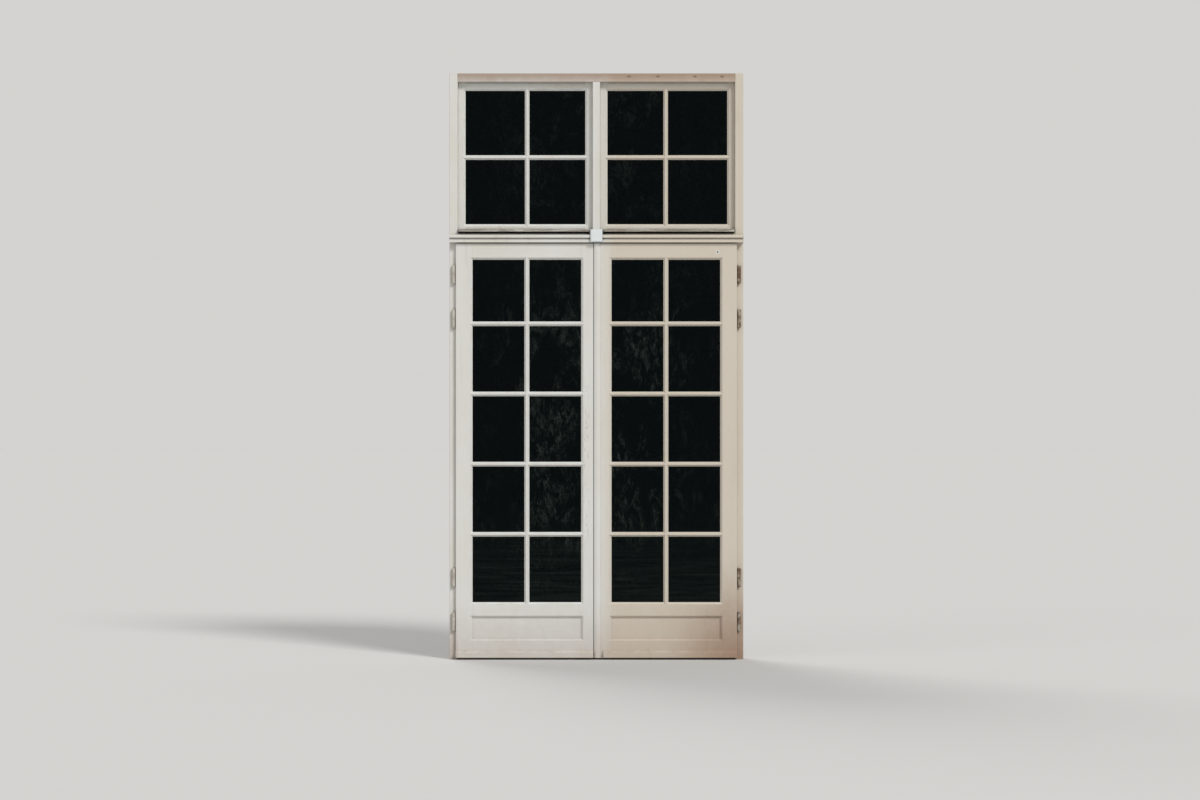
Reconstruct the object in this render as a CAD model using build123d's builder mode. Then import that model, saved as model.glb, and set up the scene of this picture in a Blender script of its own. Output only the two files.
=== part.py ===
from build123d import *
from dataclasses import dataclass
from math import acos, cos, pi, radians, sin, tan
import os

os.makedirs("parts", exist_ok=True)

# Axes: X runs along the wall, Y into the room and Z up. The origin is the middle of the threshold's
# underside. All sizes are millimetres. Each piece of a pair is drawn on the +X side and mirrored.

# Frame in the wall opening
frame_width = 1530
frame_height = 3050
frame_depth = 80
jamb_width = 56
upper_jamb_width = 43
head_height = 44
mullion_width = 39
transom_underside = 2168
transom_body_height = 38
door_stop = 12
transom_stop = 17
sash_lap = 12
arris = 2
edge_break = 1

# Transom bar moulding, in front of the frame
nose_reach = 44
nose_height = 39
nose_rise = 6
nose_groove_low = 15
nose_groove_high = 24
nose_groove_depth = 8
nose_lower_setback = 4
nose_top_radius = 5
sill_upstand = 16
upstand_slope = 5
drip_inset = 10
drip_width = 5
drip_depth = 3

# Square block where the mullion meets the transom bar
block_width = 63
block_height = 67
block_chamfer = 5
block_stand = 12

# Threshold
threshold_nose_height = 5
threshold_nose_edge = 3
threshold_height = 22
threshold_round = 4

# Door leaves, which lap over the front of the frame
leaf_thickness = 56
leaf_proud = 24
leaf_lap = 10
leaf_bottom = 8
hinge_stile_width = 87
meeting_sight = 79
seam_place = -14
top_rail_width = 84
lock_rail_width = 81
bottom_rail_width = 101
panel_height = 108
inner_bevel = 7
lap_gap = 1.5
leaf_gap = 3
leaf_top_gap = 5
seam_gap = 3
stop_gap = 2

# Panel below the lock rail
panel_bevel_width = 11
panel_bevel_depth = 10
panel_setback = 13
panel_thickness = 18
panel_tongue = 8
panel_groove = 10
panel_slack = 0.2
panel_field_inset = 24
panel_field_slope = 12
panel_field_height = 5

# Glazing
glass_thickness = 4
glass_setback = 12
glass_slack = 1.5
frame_putty = 11
bar_putty = 9
putty_edge = 1.5
putty_crest = 0.5
door_bar_width = 26
bar_width = 24
bar_tip_width = 10
bar_swell = 2
bar_body_depth = 15
bar_setback = 7
glue_line = 0.1
door_rows = 5
door_pane_height = 341

# Mortise and tenon joints
tenon_length = 45
tenon_thickness = 18
tenon_shoulder = 12
stub_tenon_length = 14
stub_tenon_width = 10
stub_tenon_thickness = 14
frame_tenon_length = 28
frame_tenon_thickness = 20
frame_tenon_margin = 6
short_tenon_length = 14
mullion_tenon_thickness = 10
joint_slack = 0.2

# Weather boards and the astragal
board_height = 39
board_reach = 18
board_slope = 11
board_floor_gap = 2
board_edge = 2
astragal_width = 34.5
astragal_edge = 3
astragal_thickness = 10
astragal_margin = 14

# Opening lights above the transom bar
sash_thickness = 46
sash_face_gap = 2
sash_gap = 3
mullion_gap = 4.5
sash_hinge_stile_width = 48
sash_mullion_stile_width = 46
sash_top_rail_width = 50.5
sash_bottom_rail_width = 59
sash_board_height = 18
sash_board_reach = 52
sash_board_slope = 5
sash_board_lift = 3.5
sash_board_jamb_gap = 3
sash_board_block_gap = 4

# Lift-off hinges of the door leaves
knuckle_radius = 10
knuckle_side_gap = 1
knuckle_back_gap = 2
hinge_length = 97
frame_knuckle_length = 28
knuckle_split = 0.5
knuckle_cap = 4.5
knuckle_chamfer = 1.5
knuckle_tip_taper = 3
knuckle_tip_length = 6
pin_radius = 4
pin_clearance = 0.08
pin_end_gap = 2
hinge_plate = 2.5
hinge_plate_reach = 34
hinge_plate_margin = 2
plate_slack = 0.15
bottom_hinge_rise = 188
top_hinge_drop = 161
hinge_pair_pitch = 229.5

# Flag hinges of the sashes
sash_knuckle_radius = 6
sash_hinge_length = 70
sash_pin_radius = 2.5
sash_hinge_plate = 2.5
sash_plate_reach = 27
sash_hinge_inset = 135

# Bolts on the room side: rods, guides and keepers
rod_radius = 5
rod_stand = 12
rod_clearance = 0.1
case_rod_clearance = 0.3
rod_end_gap = 3
guide_width = 30
guide_height = 16
guide_flange = 3
guide_wall = 4
keeper_width = 44
keeper_depth = 18
keeper_thickness = 3
keeper_clearance = 0.6
keeper_bore_clearance = 2
keeper_bore_depth = 24
threshold_bore_floor = 3

# Cremone bolt on the right-hand leaf: a pinion between two racks
cremone_height = 1050
cremone_place = 30
case_width = 46
case_length = 150
case_base = 3
case_depth = 21
case_wall = 2.5
case_round = 4
boss_radius = 12
boss_height = 4
gear_module = 1.5
pinion_teeth = 16
pressure_angle = 20
addendum_share = 0.9
dedendum_share = 1.25
backlash = 0.3
gear_width = 8
rack_back = 5
crank_height = 8
crank_gap = 1.5
spindle_radius = 8
spindle_stub_radius = 5
spindle_stub_gap = 1
spindle_square = 9
spindle_length = 24
knob_length = 70
knob_diameter = 28
knob_end_radius = 4
knob_neck_radius = 7
knob_foot_radius = 11
knob_foot_length = 12
knob_face_gap = 0.5
near_guide_reach = 330
upper_guide_inset = 63
lower_guide_inset = 82

# Surface bolts on the left-hand leaf
bolt_length = 300
bolt_plate = 2.5
bolt_guide_spacing = 220
bolt_guide_inset = 28
bolt_knob_radius = 6
bolt_knob_reach = 14
bolt_neck_radius = 2.5

# Turn buttons that hold both sashes from the mullion
button_length = 64
button_width = 12
button_thickness = 5
button_hub_radius = 6
button_hub_height = 8
button_pin_radius = 3
button_pin_depth = 18
button_gap = 0.5
button_inset = 205

# Holes for the wall fixings
fixing_radius = 5.25
fixing_setback = 23
bottom_fixing_inset = 300
top_fixing_inset = 350
jamb_fixing_count = 4
head_fixing_pitch = 720

# Depths, measured along Y
frame_front = -frame_depth / 2
frame_back = frame_depth / 2
leaf_front = frame_front - leaf_proud
leaf_back = leaf_front + leaf_thickness
stop_front = leaf_back + stop_gap
sash_back = frame_back
sash_front = sash_back - sash_thickness
lap_back = sash_front - sash_face_gap
nose_front = frame_front - nose_reach
fixing_depth = frame_back - fixing_setback

# Distances from the middle, measured along X
wall_side = frame_width / 2
stop_side = wall_side - jamb_width
rebate_side = stop_side + door_stop
leaf_side = rebate_side + leaf_lap
leaf_body_side = rebate_side - leaf_gap
sash_sight_side = wall_side - upper_jamb_width
sash_rebate_side = sash_sight_side + sash_lap
sash_side = sash_rebate_side - sash_gap
mullion_side = mullion_width / 2
mullion_back_side = mullion_side - sash_lap
sash_inner_side = mullion_back_side + mullion_gap
left_leaf_edge = -seam_place + seam_gap / 2
right_leaf_edge = seam_place + seam_gap / 2

# Heights, measured along Z
leaf_top = transom_underside - leaf_top_gap
transom_stop_bottom = transom_underside - transom_stop
sash_sill = transom_underside + transom_body_height
upstand_top = sash_sill + sill_upstand
sash_bottom = sash_sill + sash_gap
head_underside = frame_height - head_height
head_rebate = head_underside + sash_lap
sash_top = head_rebate - sash_gap
panel_bottom = leaf_bottom + bottom_rail_width
panel_top = panel_bottom + panel_height
light_bottom = panel_top + lock_rail_width
light_top = leaf_top - top_rail_width

# Hinge axes and the heights of the hinges
hinge_x = leaf_side + knuckle_side_gap + knuckle_radius
hinge_y = frame_front - knuckle_back_gap - knuckle_radius
hinge_heights = (
    leaf_bottom + bottom_hinge_rise,
    leaf_bottom + bottom_hinge_rise + hinge_pair_pitch,
    leaf_top - top_hinge_drop - hinge_pair_pitch,
    leaf_top - top_hinge_drop,
)
sash_hinge_x = (sash_side + sash_rebate_side) / 2
sash_hinge_y = sash_back + sash_knuckle_radius
sash_hinge_heights = (sash_bottom + sash_hinge_inset, sash_top - sash_hinge_inset)

# Heights of the turn buttons on the mullion
lower_button_height = sash_bottom + button_inset
upper_button_height = sash_top - button_inset

# Rod lines of the bolts
rod_y = leaf_back + rod_stand
bolt_place = -(left_leaf_edge + meeting_sight - inner_bevel) / 2
rod_top = transom_stop_bottom - rod_end_gap
rod_bottom = threshold_height + rod_end_gap
rod_places = (cremone_place, bolt_place)


@dataclass
class Opening:
    """A rectangular opening in a leaf or sash: its sight size, and the outer and room-side faces."""

    left: float
    right: float
    bottom: float
    top: float
    front: float
    back: float

    @property
    def glass_seat(self):
        return self.front + glass_setback + glass_thickness


door_light = Opening(
    meeting_sight, leaf_side - hinge_stile_width, light_bottom, light_top, leaf_front, leaf_back
)
door_panel = Opening(door_light.left, door_light.right, panel_bottom, panel_top, leaf_front, leaf_back)
sash_light = Opening(
    sash_inner_side + sash_mullion_stile_width,
    sash_side - sash_hinge_stile_width,
    sash_bottom + sash_bottom_rail_width,
    sash_top - sash_top_rail_width,
    sash_front,
    sash_back,
)
bar_line = (door_light.left + door_light.right) / 2


def save(piece, name):
    """Label a finished piece and write it."""
    piece.label = name
    export_step(piece, f"parts/{name}.step")


def save_pair(piece, name):
    """Write a right-hand piece and its mirror image for the left."""
    save(mirror(piece, about=Plane.YZ), f"left_{name}")
    save(piece, f"right_{name}")


def rectangle_between(low, high, mode=Mode.ADD):
    """Rectangle between two corners of the current sketch."""
    with Locations(((low[0] + high[0]) / 2, (low[1] + high[1]) / 2)):
        Rectangle(high[0] - low[0], high[1] - low[1], mode=mode)


def box_between(low, high, mode=Mode.ADD):
    """Box between two corners of the current part."""
    centre = [(a + b) / 2 for a, b in zip(low, high)]
    with Locations(tuple(centre)):
        Box(*[b - a for a, b in zip(low, high)], mode=mode)


def closed_face(points):
    """Face inside a closed run of straight lines."""
    with BuildLine() as outline:
        Polyline(*points, close=True)
    make_face(outline.edges())


def opening_outline(opening, y, grow=(0, 0, 0, 0)):
    """The opening's outline in the plane at y, grown on its left, right, bottom and top."""
    left, right, bottom, top = grow
    with BuildSketch(Plane.XZ.offset(-y)) as outline:
        rectangle_between(
            (opening.left - left, opening.bottom - bottom), (opening.right + right, opening.top + top)
        )
    return outline.sketch


def glazing_cutter(opening):
    """Rebate for the glass on the outside, open sight, and a bevel on the room side."""
    rebate = opening_outline(opening, opening.glass_seat, (frame_putty,) * 4)
    sight = opening_outline(opening, opening.back - inner_bevel)
    bevel = opening_outline(opening, opening.back, (inner_bevel,) * 4)
    with BuildPart() as cutter:
        extrude(rebate, amount=glass_setback + glass_thickness)
        loft([sight, bevel])
    return cutter.part


def panel_cutter(opening):
    """Bevel outside, groove for the panel's tongue, and a bevel on the room side."""
    groove_back = opening.front + panel_setback + panel_thickness
    outer = opening_outline(opening, opening.front, (panel_bevel_width,) * 4)
    outer_sight = opening_outline(opening, opening.front + panel_bevel_depth)
    groove = opening_outline(opening, groove_back, (panel_groove,) * 4)
    inner_sight = opening_outline(opening, opening.back - inner_bevel)
    inner = opening_outline(opening, opening.back, (inner_bevel,) * 4)
    with BuildPart() as cutter:
        loft([outer, outer_sight])
        extrude(groove, amount=panel_thickness)
        loft([inner_sight, inner])
    return cutter.part


def rail_tenons(opening, rail_bottom, rail_top, length, slack=0):
    """Tenons at both ends of a rail. With slack they are the mortises for them."""
    middle = (opening.glass_seat + opening.back - inner_bevel) / 2
    half = min(tenon_thickness, opening.back - inner_bevel - opening.glass_seat) / 2 + slack
    low_z = rail_bottom + tenon_shoulder - slack
    high_z = rail_top - tenon_shoulder + slack
    reach = length + slack
    with BuildPart() as tenons:
        box_between(
            (opening.left - reach, middle - half, low_z), (opening.left + slack, middle + half, high_z)
        )
        box_between(
            (opening.right - slack, middle - half, low_z), (opening.right + reach, middle + half, high_z)
        )
    return tenons.part


def row_centres(opening, pane_height, rows):
    """Centre heights of the horizontal bars, counted up from the bottom rail."""
    pitch = pane_height + bar_width
    first = opening.bottom + pane_height + bar_width / 2
    return [first + row * pitch for row in range(rows - 1)]


def bar_tenons(opening, centres, slack=0):
    """Stub tenons at the ends of the glazing bars. With slack they are the mortises for them."""
    low_y = opening.glass_seat - slack
    high_y = opening.glass_seat + stub_tenon_thickness + slack
    half = stub_tenon_width / 2 + slack
    reach = stub_tenon_length + slack
    with BuildPart() as tenons:
        for z in centres:
            box_between(
                (opening.left - reach, low_y, z - half), (opening.left + slack, high_y, z + half)
            )
            box_between(
                (opening.right - slack, low_y, z - half), (opening.right + reach, high_y, z + half)
            )
        box_between(
            (bar_line - half, low_y, opening.bottom - reach),
            (bar_line + half, high_y, opening.bottom + slack),
        )
        box_between(
            (bar_line - half, low_y, opening.top - slack), (bar_line + half, high_y, opening.top + reach)
        )
    return tenons.part


def half_nose(width):
    """Half the width of a glazing bar's nose, between its putty lands."""
    return width / 2 - bar_putty


def bar_section(opening, width, growth=0):
    """Section of a glazing bar: a nose between the putty lands, and an ovolo towards the room."""
    nose = half_nose(width)
    seat = opening.glass_seat
    body = seat + bar_body_depth
    tip = opening.back - bar_setback
    middle_x = (width + bar_tip_width) / 4 + bar_swell
    middle_y = (body + tip) / 2 + bar_swell
    with BuildLine() as outline:
        Polyline(
            (-width / 2, body),
            (-width / 2, seat),
            (-nose, seat),
            (-nose, opening.front),
            (nose, opening.front),
            (nose, seat),
            (width / 2, seat),
            (width / 2, body),
        )
        ThreePointArc((width / 2, body), (middle_x, middle_y), (bar_tip_width / 2, tip))
        Line((bar_tip_width / 2, tip), (-bar_tip_width / 2, tip))
        ThreePointArc((-bar_tip_width / 2, tip), (-middle_x, middle_y), (-width / 2, body))
    make_face(outline.edges())
    if growth:
        offset(amount=growth, kind=Kind.INTERSECTION)


def glazing_bars(opening, upright_width, centres):
    """One upright bar, and short horizontal bars scribed to it. Their noses cross the frame's rebates."""
    upright = Plane((bar_line, 0, opening.bottom))
    reach = frame_putty - glue_line
    nose = half_nose(bar_width)
    upright_nose = half_nose(upright_width)
    with BuildPart() as bars:
        for z in centres:
            with BuildSketch(Plane((opening.left, 0, z), x_dir=(0, 0, -1), z_dir=(1, 0, 0))):
                bar_section(opening, bar_width)
            extrude(amount=opening.right - opening.left)
            box_between(
                (opening.left - reach, opening.front, z - nose),
                (opening.right + reach, opening.glass_seat, z + nose),
            )
        with BuildSketch(upright):
            bar_section(opening, upright_width, glue_line)
        extrude(amount=opening.top - opening.bottom, mode=Mode.SUBTRACT)
        with BuildSketch(upright):
            bar_section(opening, upright_width)
        extrude(amount=opening.top - opening.bottom)
        box_between(
            (bar_line - upright_nose, opening.front, opening.bottom - reach),
            (bar_line + upright_nose, opening.glass_seat, opening.top + reach),
        )
        add(bar_tenons(opening, centres))
    return bars.part


def pane_openings(opening, upright_width, centres):
    """The clear openings between the bars, with each one's putty lands: left, right, bottom, top."""
    half = upright_width / 2
    columns = [
        (opening.left, bar_line - half, frame_putty, bar_putty),
        (bar_line + half, opening.right, bar_putty, frame_putty),
    ]
    edges = [opening.bottom]
    for z in centres:
        edges += [z - bar_width / 2, z + bar_width / 2]
    edges.append(opening.top)
    rows = list(zip(edges[0::2], edges[1::2]))
    for left, right, left_land, right_land in columns:
        for number, (bottom, top) in enumerate(rows):
            bottom_land = frame_putty if number == 0 else bar_putty
            top_land = frame_putty if number == len(rows) - 1 else bar_putty
            pane = Opening(left, right, bottom, top, opening.front, opening.back)
            yield pane, (left_land, right_land, bottom_land, top_land)


def panes(opening, upright_width, centres):
    """Glass panes, loose by a small margin in their rebates."""
    with BuildPart() as glass:
        for pane, lands in pane_openings(opening, upright_width, centres):
            sheet = opening_outline(pane, pane.glass_seat, [land - glass_slack for land in lands])
            extrude(sheet, amount=glass_thickness)
    return glass.part


def putty(opening, upright_width, centres):
    """Bevelled putty in front of each pane, from the sight line out to the face of the wood."""
    with BuildPart() as bead:
        for pane, lands in pane_openings(opening, upright_width, centres):
            extrude(opening_outline(pane, pane.front + glass_setback, lands), amount=glass_setback)
        for pane, lands in pane_openings(opening, upright_width, centres):
            edge = pane.front + glass_setback - putty_edge
            extrude(opening_outline(pane, edge), amount=-putty_edge, mode=Mode.SUBTRACT)
            sight = opening_outline(pane, edge)
            mouth = opening_outline(pane, pane.front, [land - putty_crest for land in lands])
            loft([sight, mouth], mode=Mode.SUBTRACT)
    return bead.part


def hinge_plane(x, y, z):
    """Upright plane through a hinge axis, in which a knuckle's half profile is drawn."""
    return Plane((x, y, z), x_dir=(1, 0, 0), z_dir=(0, -1, 0))


def leaf_knuckle_profile(radius, bore, low, high, cap, edge):
    """Half profile of the upper knuckle, which drops over the pin."""
    closed_face(
        [(bore, low), (radius, low), (radius, high - edge), (radius - edge, high)]
        + [(0, high), (0, high - cap), (bore, high - cap)]
    )


def frame_knuckle_profile(radius, pin, low, high, pin_top, tip):
    """Half profile of the lower knuckle, with its pin above and a tapered tip below."""
    closed_face(
        [(0, low), (radius - knuckle_tip_taper, low), (radius, low + tip), (radius, high)]
        + [(pin, high), (pin, pin_top), (0, pin_top)]
    )


knuckle_low = -hinge_length / 2
knuckle_high = hinge_length / 2
frame_knuckle_top = knuckle_low + frame_knuckle_length
leaf_knuckle_bottom = frame_knuckle_top + knuckle_split
pin_top = knuckle_high - knuckle_cap - pin_end_gap


def leaf_hinge_plates(slack=0):
    """Plates of the upper hinge halves, housed in the edge of the leaf. With slack, their slots."""
    half = hinge_plate / 2 + slack
    start = leaf_side - hinge_plate_reach - slack
    end = hinge_x - knuckle_radius / 2 - pin_clearance
    with BuildPart() as plates:
        for z in hinge_heights:
            low_z = z + leaf_knuckle_bottom - slack
            high_z = z + knuckle_high - hinge_plate_margin + slack
            box_between((start, hinge_y - half, low_z), (end, hinge_y + half, high_z))
    return plates.part


def frame_hinge_plates(slack=0):
    """Plates of the lower hinge halves, housed in the face of the jamb. With slack, their slots."""
    half = hinge_plate / 2 + slack
    start = hinge_y + knuckle_radius / 2
    end = frame_front + hinge_plate_reach + slack
    with BuildPart() as plates:
        for z in hinge_heights:
            low_z = z + knuckle_low + knuckle_tip_length - slack
            high_z = z + frame_knuckle_top + slack
            box_between((hinge_x - half, start, low_z), (hinge_x + half, end, high_z))
    return plates.part


def leaf_hinge_halves():
    """Four upper hinge halves of one leaf: bored knuckle and plate."""
    with BuildPart() as halves:
        for z in hinge_heights:
            with BuildSketch(hinge_plane(hinge_x, hinge_y, z)):
                leaf_knuckle_profile(
                    knuckle_radius,
                    pin_radius + pin_clearance,
                    leaf_knuckle_bottom,
                    knuckle_high,
                    knuckle_cap,
                    knuckle_chamfer,
                )
            revolve(axis=Axis((hinge_x, hinge_y, 0), (0, 0, 1)))
        add(leaf_hinge_plates())
    return halves.part


def frame_hinge_halves():
    """Lower hinge halves of both leaves, and those of both sashes, on the frame."""
    with BuildPart() as halves:
        for z in hinge_heights:
            with BuildSketch(hinge_plane(hinge_x, hinge_y, z)):
                frame_knuckle_profile(
                    knuckle_radius,
                    pin_radius,
                    knuckle_low,
                    frame_knuckle_top,
                    pin_top,
                    knuckle_tip_length,
                )
            revolve(axis=Axis((hinge_x, hinge_y, 0), (0, 0, 1)))
        add(frame_hinge_plates())
        for z in sash_hinge_heights:
            with BuildSketch(hinge_plane(sash_hinge_x, sash_hinge_y, z)):
                frame_knuckle_profile(
                    sash_knuckle_radius,
                    sash_pin_radius,
                    -sash_hinge_length / 2,
                    -knuckle_split / 2,
                    sash_hinge_length / 2 - knuckle_cap - pin_end_gap,
                    knuckle_tip_length / 2,
                )
            revolve(axis=Axis((sash_hinge_x, sash_hinge_y, 0), (0, 0, 1)))
            box_between(
                (sash_hinge_x, sash_back, z - (sash_hinge_length - knuckle_tip_length) / 2),
                (sash_hinge_x + sash_plate_reach, sash_back + sash_hinge_plate, z - knuckle_split / 2),
            )
        mirror(about=Plane.YZ)
    return halves.part


def sash_hinge_halves():
    """Two upper hinge halves of one sash, with plates on its room side."""
    with BuildPart() as halves:
        for z in sash_hinge_heights:
            with BuildSketch(hinge_plane(sash_hinge_x, sash_hinge_y, z)):
                leaf_knuckle_profile(
                    sash_knuckle_radius,
                    sash_pin_radius + pin_clearance,
                    knuckle_split / 2,
                    sash_hinge_length / 2,
                    knuckle_cap,
                    knuckle_chamfer,
                )
            revolve(axis=Axis((sash_hinge_x, sash_hinge_y, 0), (0, 0, 1)))
            low_z = z + knuckle_split / 2
            high_z = z + sash_hinge_length / 2 - knuckle_chamfer
            box_between(
                (sash_hinge_x - sash_plate_reach, sash_back, low_z),
                (sash_hinge_x - sash_pin_radius - pin_clearance, sash_back + sash_hinge_plate, high_z),
            )
    return halves.part


def end_tenon(low, high, slack=0):
    """A frame joint's tenon on the +X side, mirrored to the other side. With slack, its mortise."""
    with BuildPart() as tenon:
        box_between([value - slack for value in low], [value + slack for value in high])
        mirror(about=Plane.YZ)
    return tenon.part


transom_tenon = (
    (stop_side, stop_front, transom_underside + arris),
    (
        stop_side + frame_tenon_length,
        stop_front + frame_tenon_thickness,
        sash_sill - frame_tenon_margin,
    ),
)
head_tenon = (
    (sash_rebate_side, lap_back + arris, head_rebate + frame_tenon_margin),
    (
        sash_rebate_side + short_tenon_length,
        lap_back + arris + frame_tenon_thickness,
        frame_height - frame_tenon_margin,
    ),
)
threshold_tenon = (
    (stop_side, stop_front + frame_tenon_margin, threshold_nose_height),
    (
        stop_side + frame_tenon_length,
        stop_front + frame_tenon_margin + frame_tenon_thickness,
        threshold_height - frame_tenon_margin,
    ),
)


def jamb():
    """Right-hand jamb: rebated outside for the leaf below, and inside for the sash above."""
    with BuildPart() as post:
        with BuildSketch():
            rectangle_between((stop_side, frame_front), (wall_side, frame_back))
        extrude(amount=frame_height)
        box_between(
            (stop_side, frame_front, 0), (rebate_side, stop_front, transom_underside), mode=Mode.SUBTRACT
        )
        box_between(
            (stop_side, frame_front, sash_sill), (sash_sight_side, lap_back, frame_height), mode=Mode.SUBTRACT
        )
        box_between(
            (stop_side, lap_back, sash_sill), (sash_rebate_side, frame_back, frame_height), mode=Mode.SUBTRACT
        )
        chamfer(post.edges().filter_by(Axis.Z).group_by(Axis.Y)[0], arris)
        for tenon in (transom_tenon, head_tenon, threshold_tenon):
            add(end_tenon(*tenon, slack=joint_slack), mode=Mode.SUBTRACT)
        add(frame_hinge_plates(plate_slack), mode=Mode.SUBTRACT)
        fixing_span = frame_height - bottom_fixing_inset - top_fixing_inset
        for number in range(jamb_fixing_count):
            z = bottom_fixing_inset + number * fixing_span / (jamb_fixing_count - 1)
            with Locations(Plane((stop_side, fixing_depth, z), z_dir=(1, 0, 0))):
                Hole(fixing_radius)
    return post.part


def along_x(half_length):
    """Plane for a section that runs along X, from -half_length to half_length."""
    return Plane.YZ.offset(-half_length)


def head():
    """Head of the frame, rebated inside for the sashes."""
    with BuildPart() as rail:
        with BuildSketch(along_x(sash_sight_side)):
            rectangle_between((frame_front, head_underside), (lap_back, frame_height))
        extrude(amount=2 * sash_sight_side)
        with BuildSketch(along_x(sash_rebate_side)):
            rectangle_between((lap_back, head_rebate), (frame_back, frame_height))
        extrude(amount=2 * sash_rebate_side)
        add(end_tenon(*head_tenon))
        add(mullion_tenons(joint_slack), mode=Mode.SUBTRACT)
        with Locations((0, fixing_depth, frame_height)):
            with GridLocations(head_fixing_pitch, 1, 2, 1):
                Hole(fixing_radius)
        lower_edge = rail.edges().filter_by(Axis.X).sort_by(Axis.Z)[0]
        chamfer(lower_edge, arris)
    return rail.part


def nose_section():
    """Moulding in front of the transom bar: fascia, quirk, and a rounded band with a sloped top."""
    low = transom_underside
    band_top = low + nose_height
    with BuildLine() as outline:
        Polyline(
            (frame_front, low),
            (nose_front + nose_lower_setback, low),
            (nose_front + nose_lower_setback, low + nose_groove_low),
            (nose_front + nose_groove_depth, low + nose_groove_low),
            (nose_front + nose_groove_depth, low + nose_groove_high),
            (nose_front, low + nose_groove_high),
            (nose_front, band_top - nose_top_radius),
        )
        JernArc((nose_front, band_top - nose_top_radius), (0, 1), nose_top_radius, -90)
        Polyline(
            (nose_front + nose_top_radius, band_top),
            (frame_front, band_top + nose_rise),
            (frame_front, low),
        )
    make_face(outline.edges())


def cut_keeper_housing(x, low):
    """Cut the shallow housing of one keeper plate out of the current part."""
    box_between(
        (x - keeper_width / 2, rod_y - keeper_depth / 2, low),
        (x + keeper_width / 2, rod_y + keeper_depth / 2, low + keeper_thickness),
        mode=Mode.SUBTRACT,
    )


def transom_bar():
    """Transom bar: door stop below, sash sill and upstand above, moulded nose in front."""
    with BuildPart() as bar:
        with BuildSketch(along_x(stop_side)):
            closed_face(
                [
                    (frame_front, transom_underside),
                    (stop_front, transom_underside),
                    (stop_front, transom_stop_bottom),
                    (frame_back - inner_bevel, transom_stop_bottom),
                    (frame_back, transom_stop_bottom + inner_bevel),
                    (frame_back, sash_sill),
                    (frame_front, sash_sill),
                ]
            )
        extrude(amount=2 * stop_side)
        with BuildSketch(along_x(sash_sight_side)):
            closed_face(
                [
                    (frame_front, sash_sill),
                    (lap_back, sash_sill),
                    (lap_back, upstand_top),
                    (frame_front + upstand_slope, upstand_top),
                    (frame_front, upstand_top - upstand_slope),
                ]
            )
        extrude(amount=2 * sash_sight_side)
        with BuildSketch(along_x(wall_side)):
            nose_section()
            drip_front = nose_front + nose_lower_setback + drip_inset
            rectangle_between(
                (drip_front, transom_underside),
                (drip_front + drip_width, transom_underside + drip_depth),
                mode=Mode.SUBTRACT,
            )
        extrude(amount=2 * wall_side)
        add(end_tenon(*transom_tenon))
        add(mullion_tenons(joint_slack), mode=Mode.SUBTRACT)
        for x in rod_places:
            with Locations(Plane((x, rod_y, transom_stop_bottom), z_dir=(0, 0, -1))):
                Hole(rod_radius + keeper_bore_clearance, depth=keeper_bore_depth)
            cut_keeper_housing(x, transom_stop_bottom)
    return bar.part


def mullion_tenons(slack=0):
    """Tenons at both ends of the mullion's front part. With slack, their mortises."""
    half = mullion_back_side + slack
    middle = (frame_front + lap_back) / 2
    thick = mullion_tenon_thickness / 2 + slack
    with BuildPart() as tenons:
        box_between(
            (-half, middle - thick, upstand_top - short_tenon_length - slack),
            (half, middle + thick, upstand_top + slack),
        )
        box_between(
            (-half, middle - thick, head_underside - slack),
            (half, middle + thick, head_underside + short_tenon_length + slack),
        )
    return tenons.part


def mullion():
    """Fixed mullion between the sashes: a wide front that both lap behind, and a narrow back."""
    with BuildPart() as post:
        with BuildSketch(Plane.XY.offset(upstand_top)):
            rectangle_between((-mullion_side, frame_front), (mullion_side, lap_back))
        extrude(amount=head_underside - upstand_top)
        front_edges = post.edges().filter_by(Axis.Z).group_by(Axis.Y)[0]
        chamfer(front_edges, arris)
        with BuildSketch(Plane.XY.offset(sash_sill)):
            rectangle_between((-mullion_back_side, lap_back), (mullion_back_side, frame_back))
        extrude(amount=head_rebate - sash_sill)
        add(mullion_tenons())
        for z in (lower_button_height, upper_button_height):
            with Locations(Plane((0, frame_back, z), z_dir=(0, 1, 0))):
                Hole(button_pin_radius + pin_clearance, depth=button_pin_depth + pin_end_gap)
    return post.part


def transom_block():
    """Chamfered square block planted over the transom bar's moulding, below the mullion."""
    low = transom_underside
    front = nose_front - block_stand
    with BuildPart() as block:
        box_between((-block_width / 2, front, low), (block_width / 2, frame_front, low + block_height))
        chamfer(block.faces().sort_by(Axis.Y)[0].edges(), block_chamfer)
        with BuildSketch(along_x(wall_side)):
            nose_section()
        extrude(amount=2 * wall_side, mode=Mode.SUBTRACT)
    return block.part


def threshold():
    """Low threshold: a sloped nose under the leaves, and an upstand that they close against."""
    with BuildPart() as sill:
        with BuildSketch(along_x(rebate_side)):
            closed_face(
                [
                    (frame_front, 0),
                    (stop_front, 0),
                    (stop_front, threshold_nose_height),
                    (frame_front, threshold_nose_edge),
                ]
            )
        extrude(amount=2 * rebate_side)
        with BuildSketch(along_x(stop_side)):
            rectangle_between((stop_front, 0), (frame_back, threshold_height))
        extrude(amount=2 * stop_side)
        top_edges = sill.faces().sort_by(Axis.Z)[-1].edges().filter_by(Axis.X)
        fillet(top_edges, threshold_round)
        add(end_tenon(*threshold_tenon))
        for x in rod_places:
            with Locations((x, rod_y, threshold_height)):
                Hole(rod_radius + keeper_bore_clearance, depth=threshold_height - threshold_bore_floor)
            cut_keeper_housing(x, threshold_height - keeper_thickness)
    return sill.part


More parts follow.
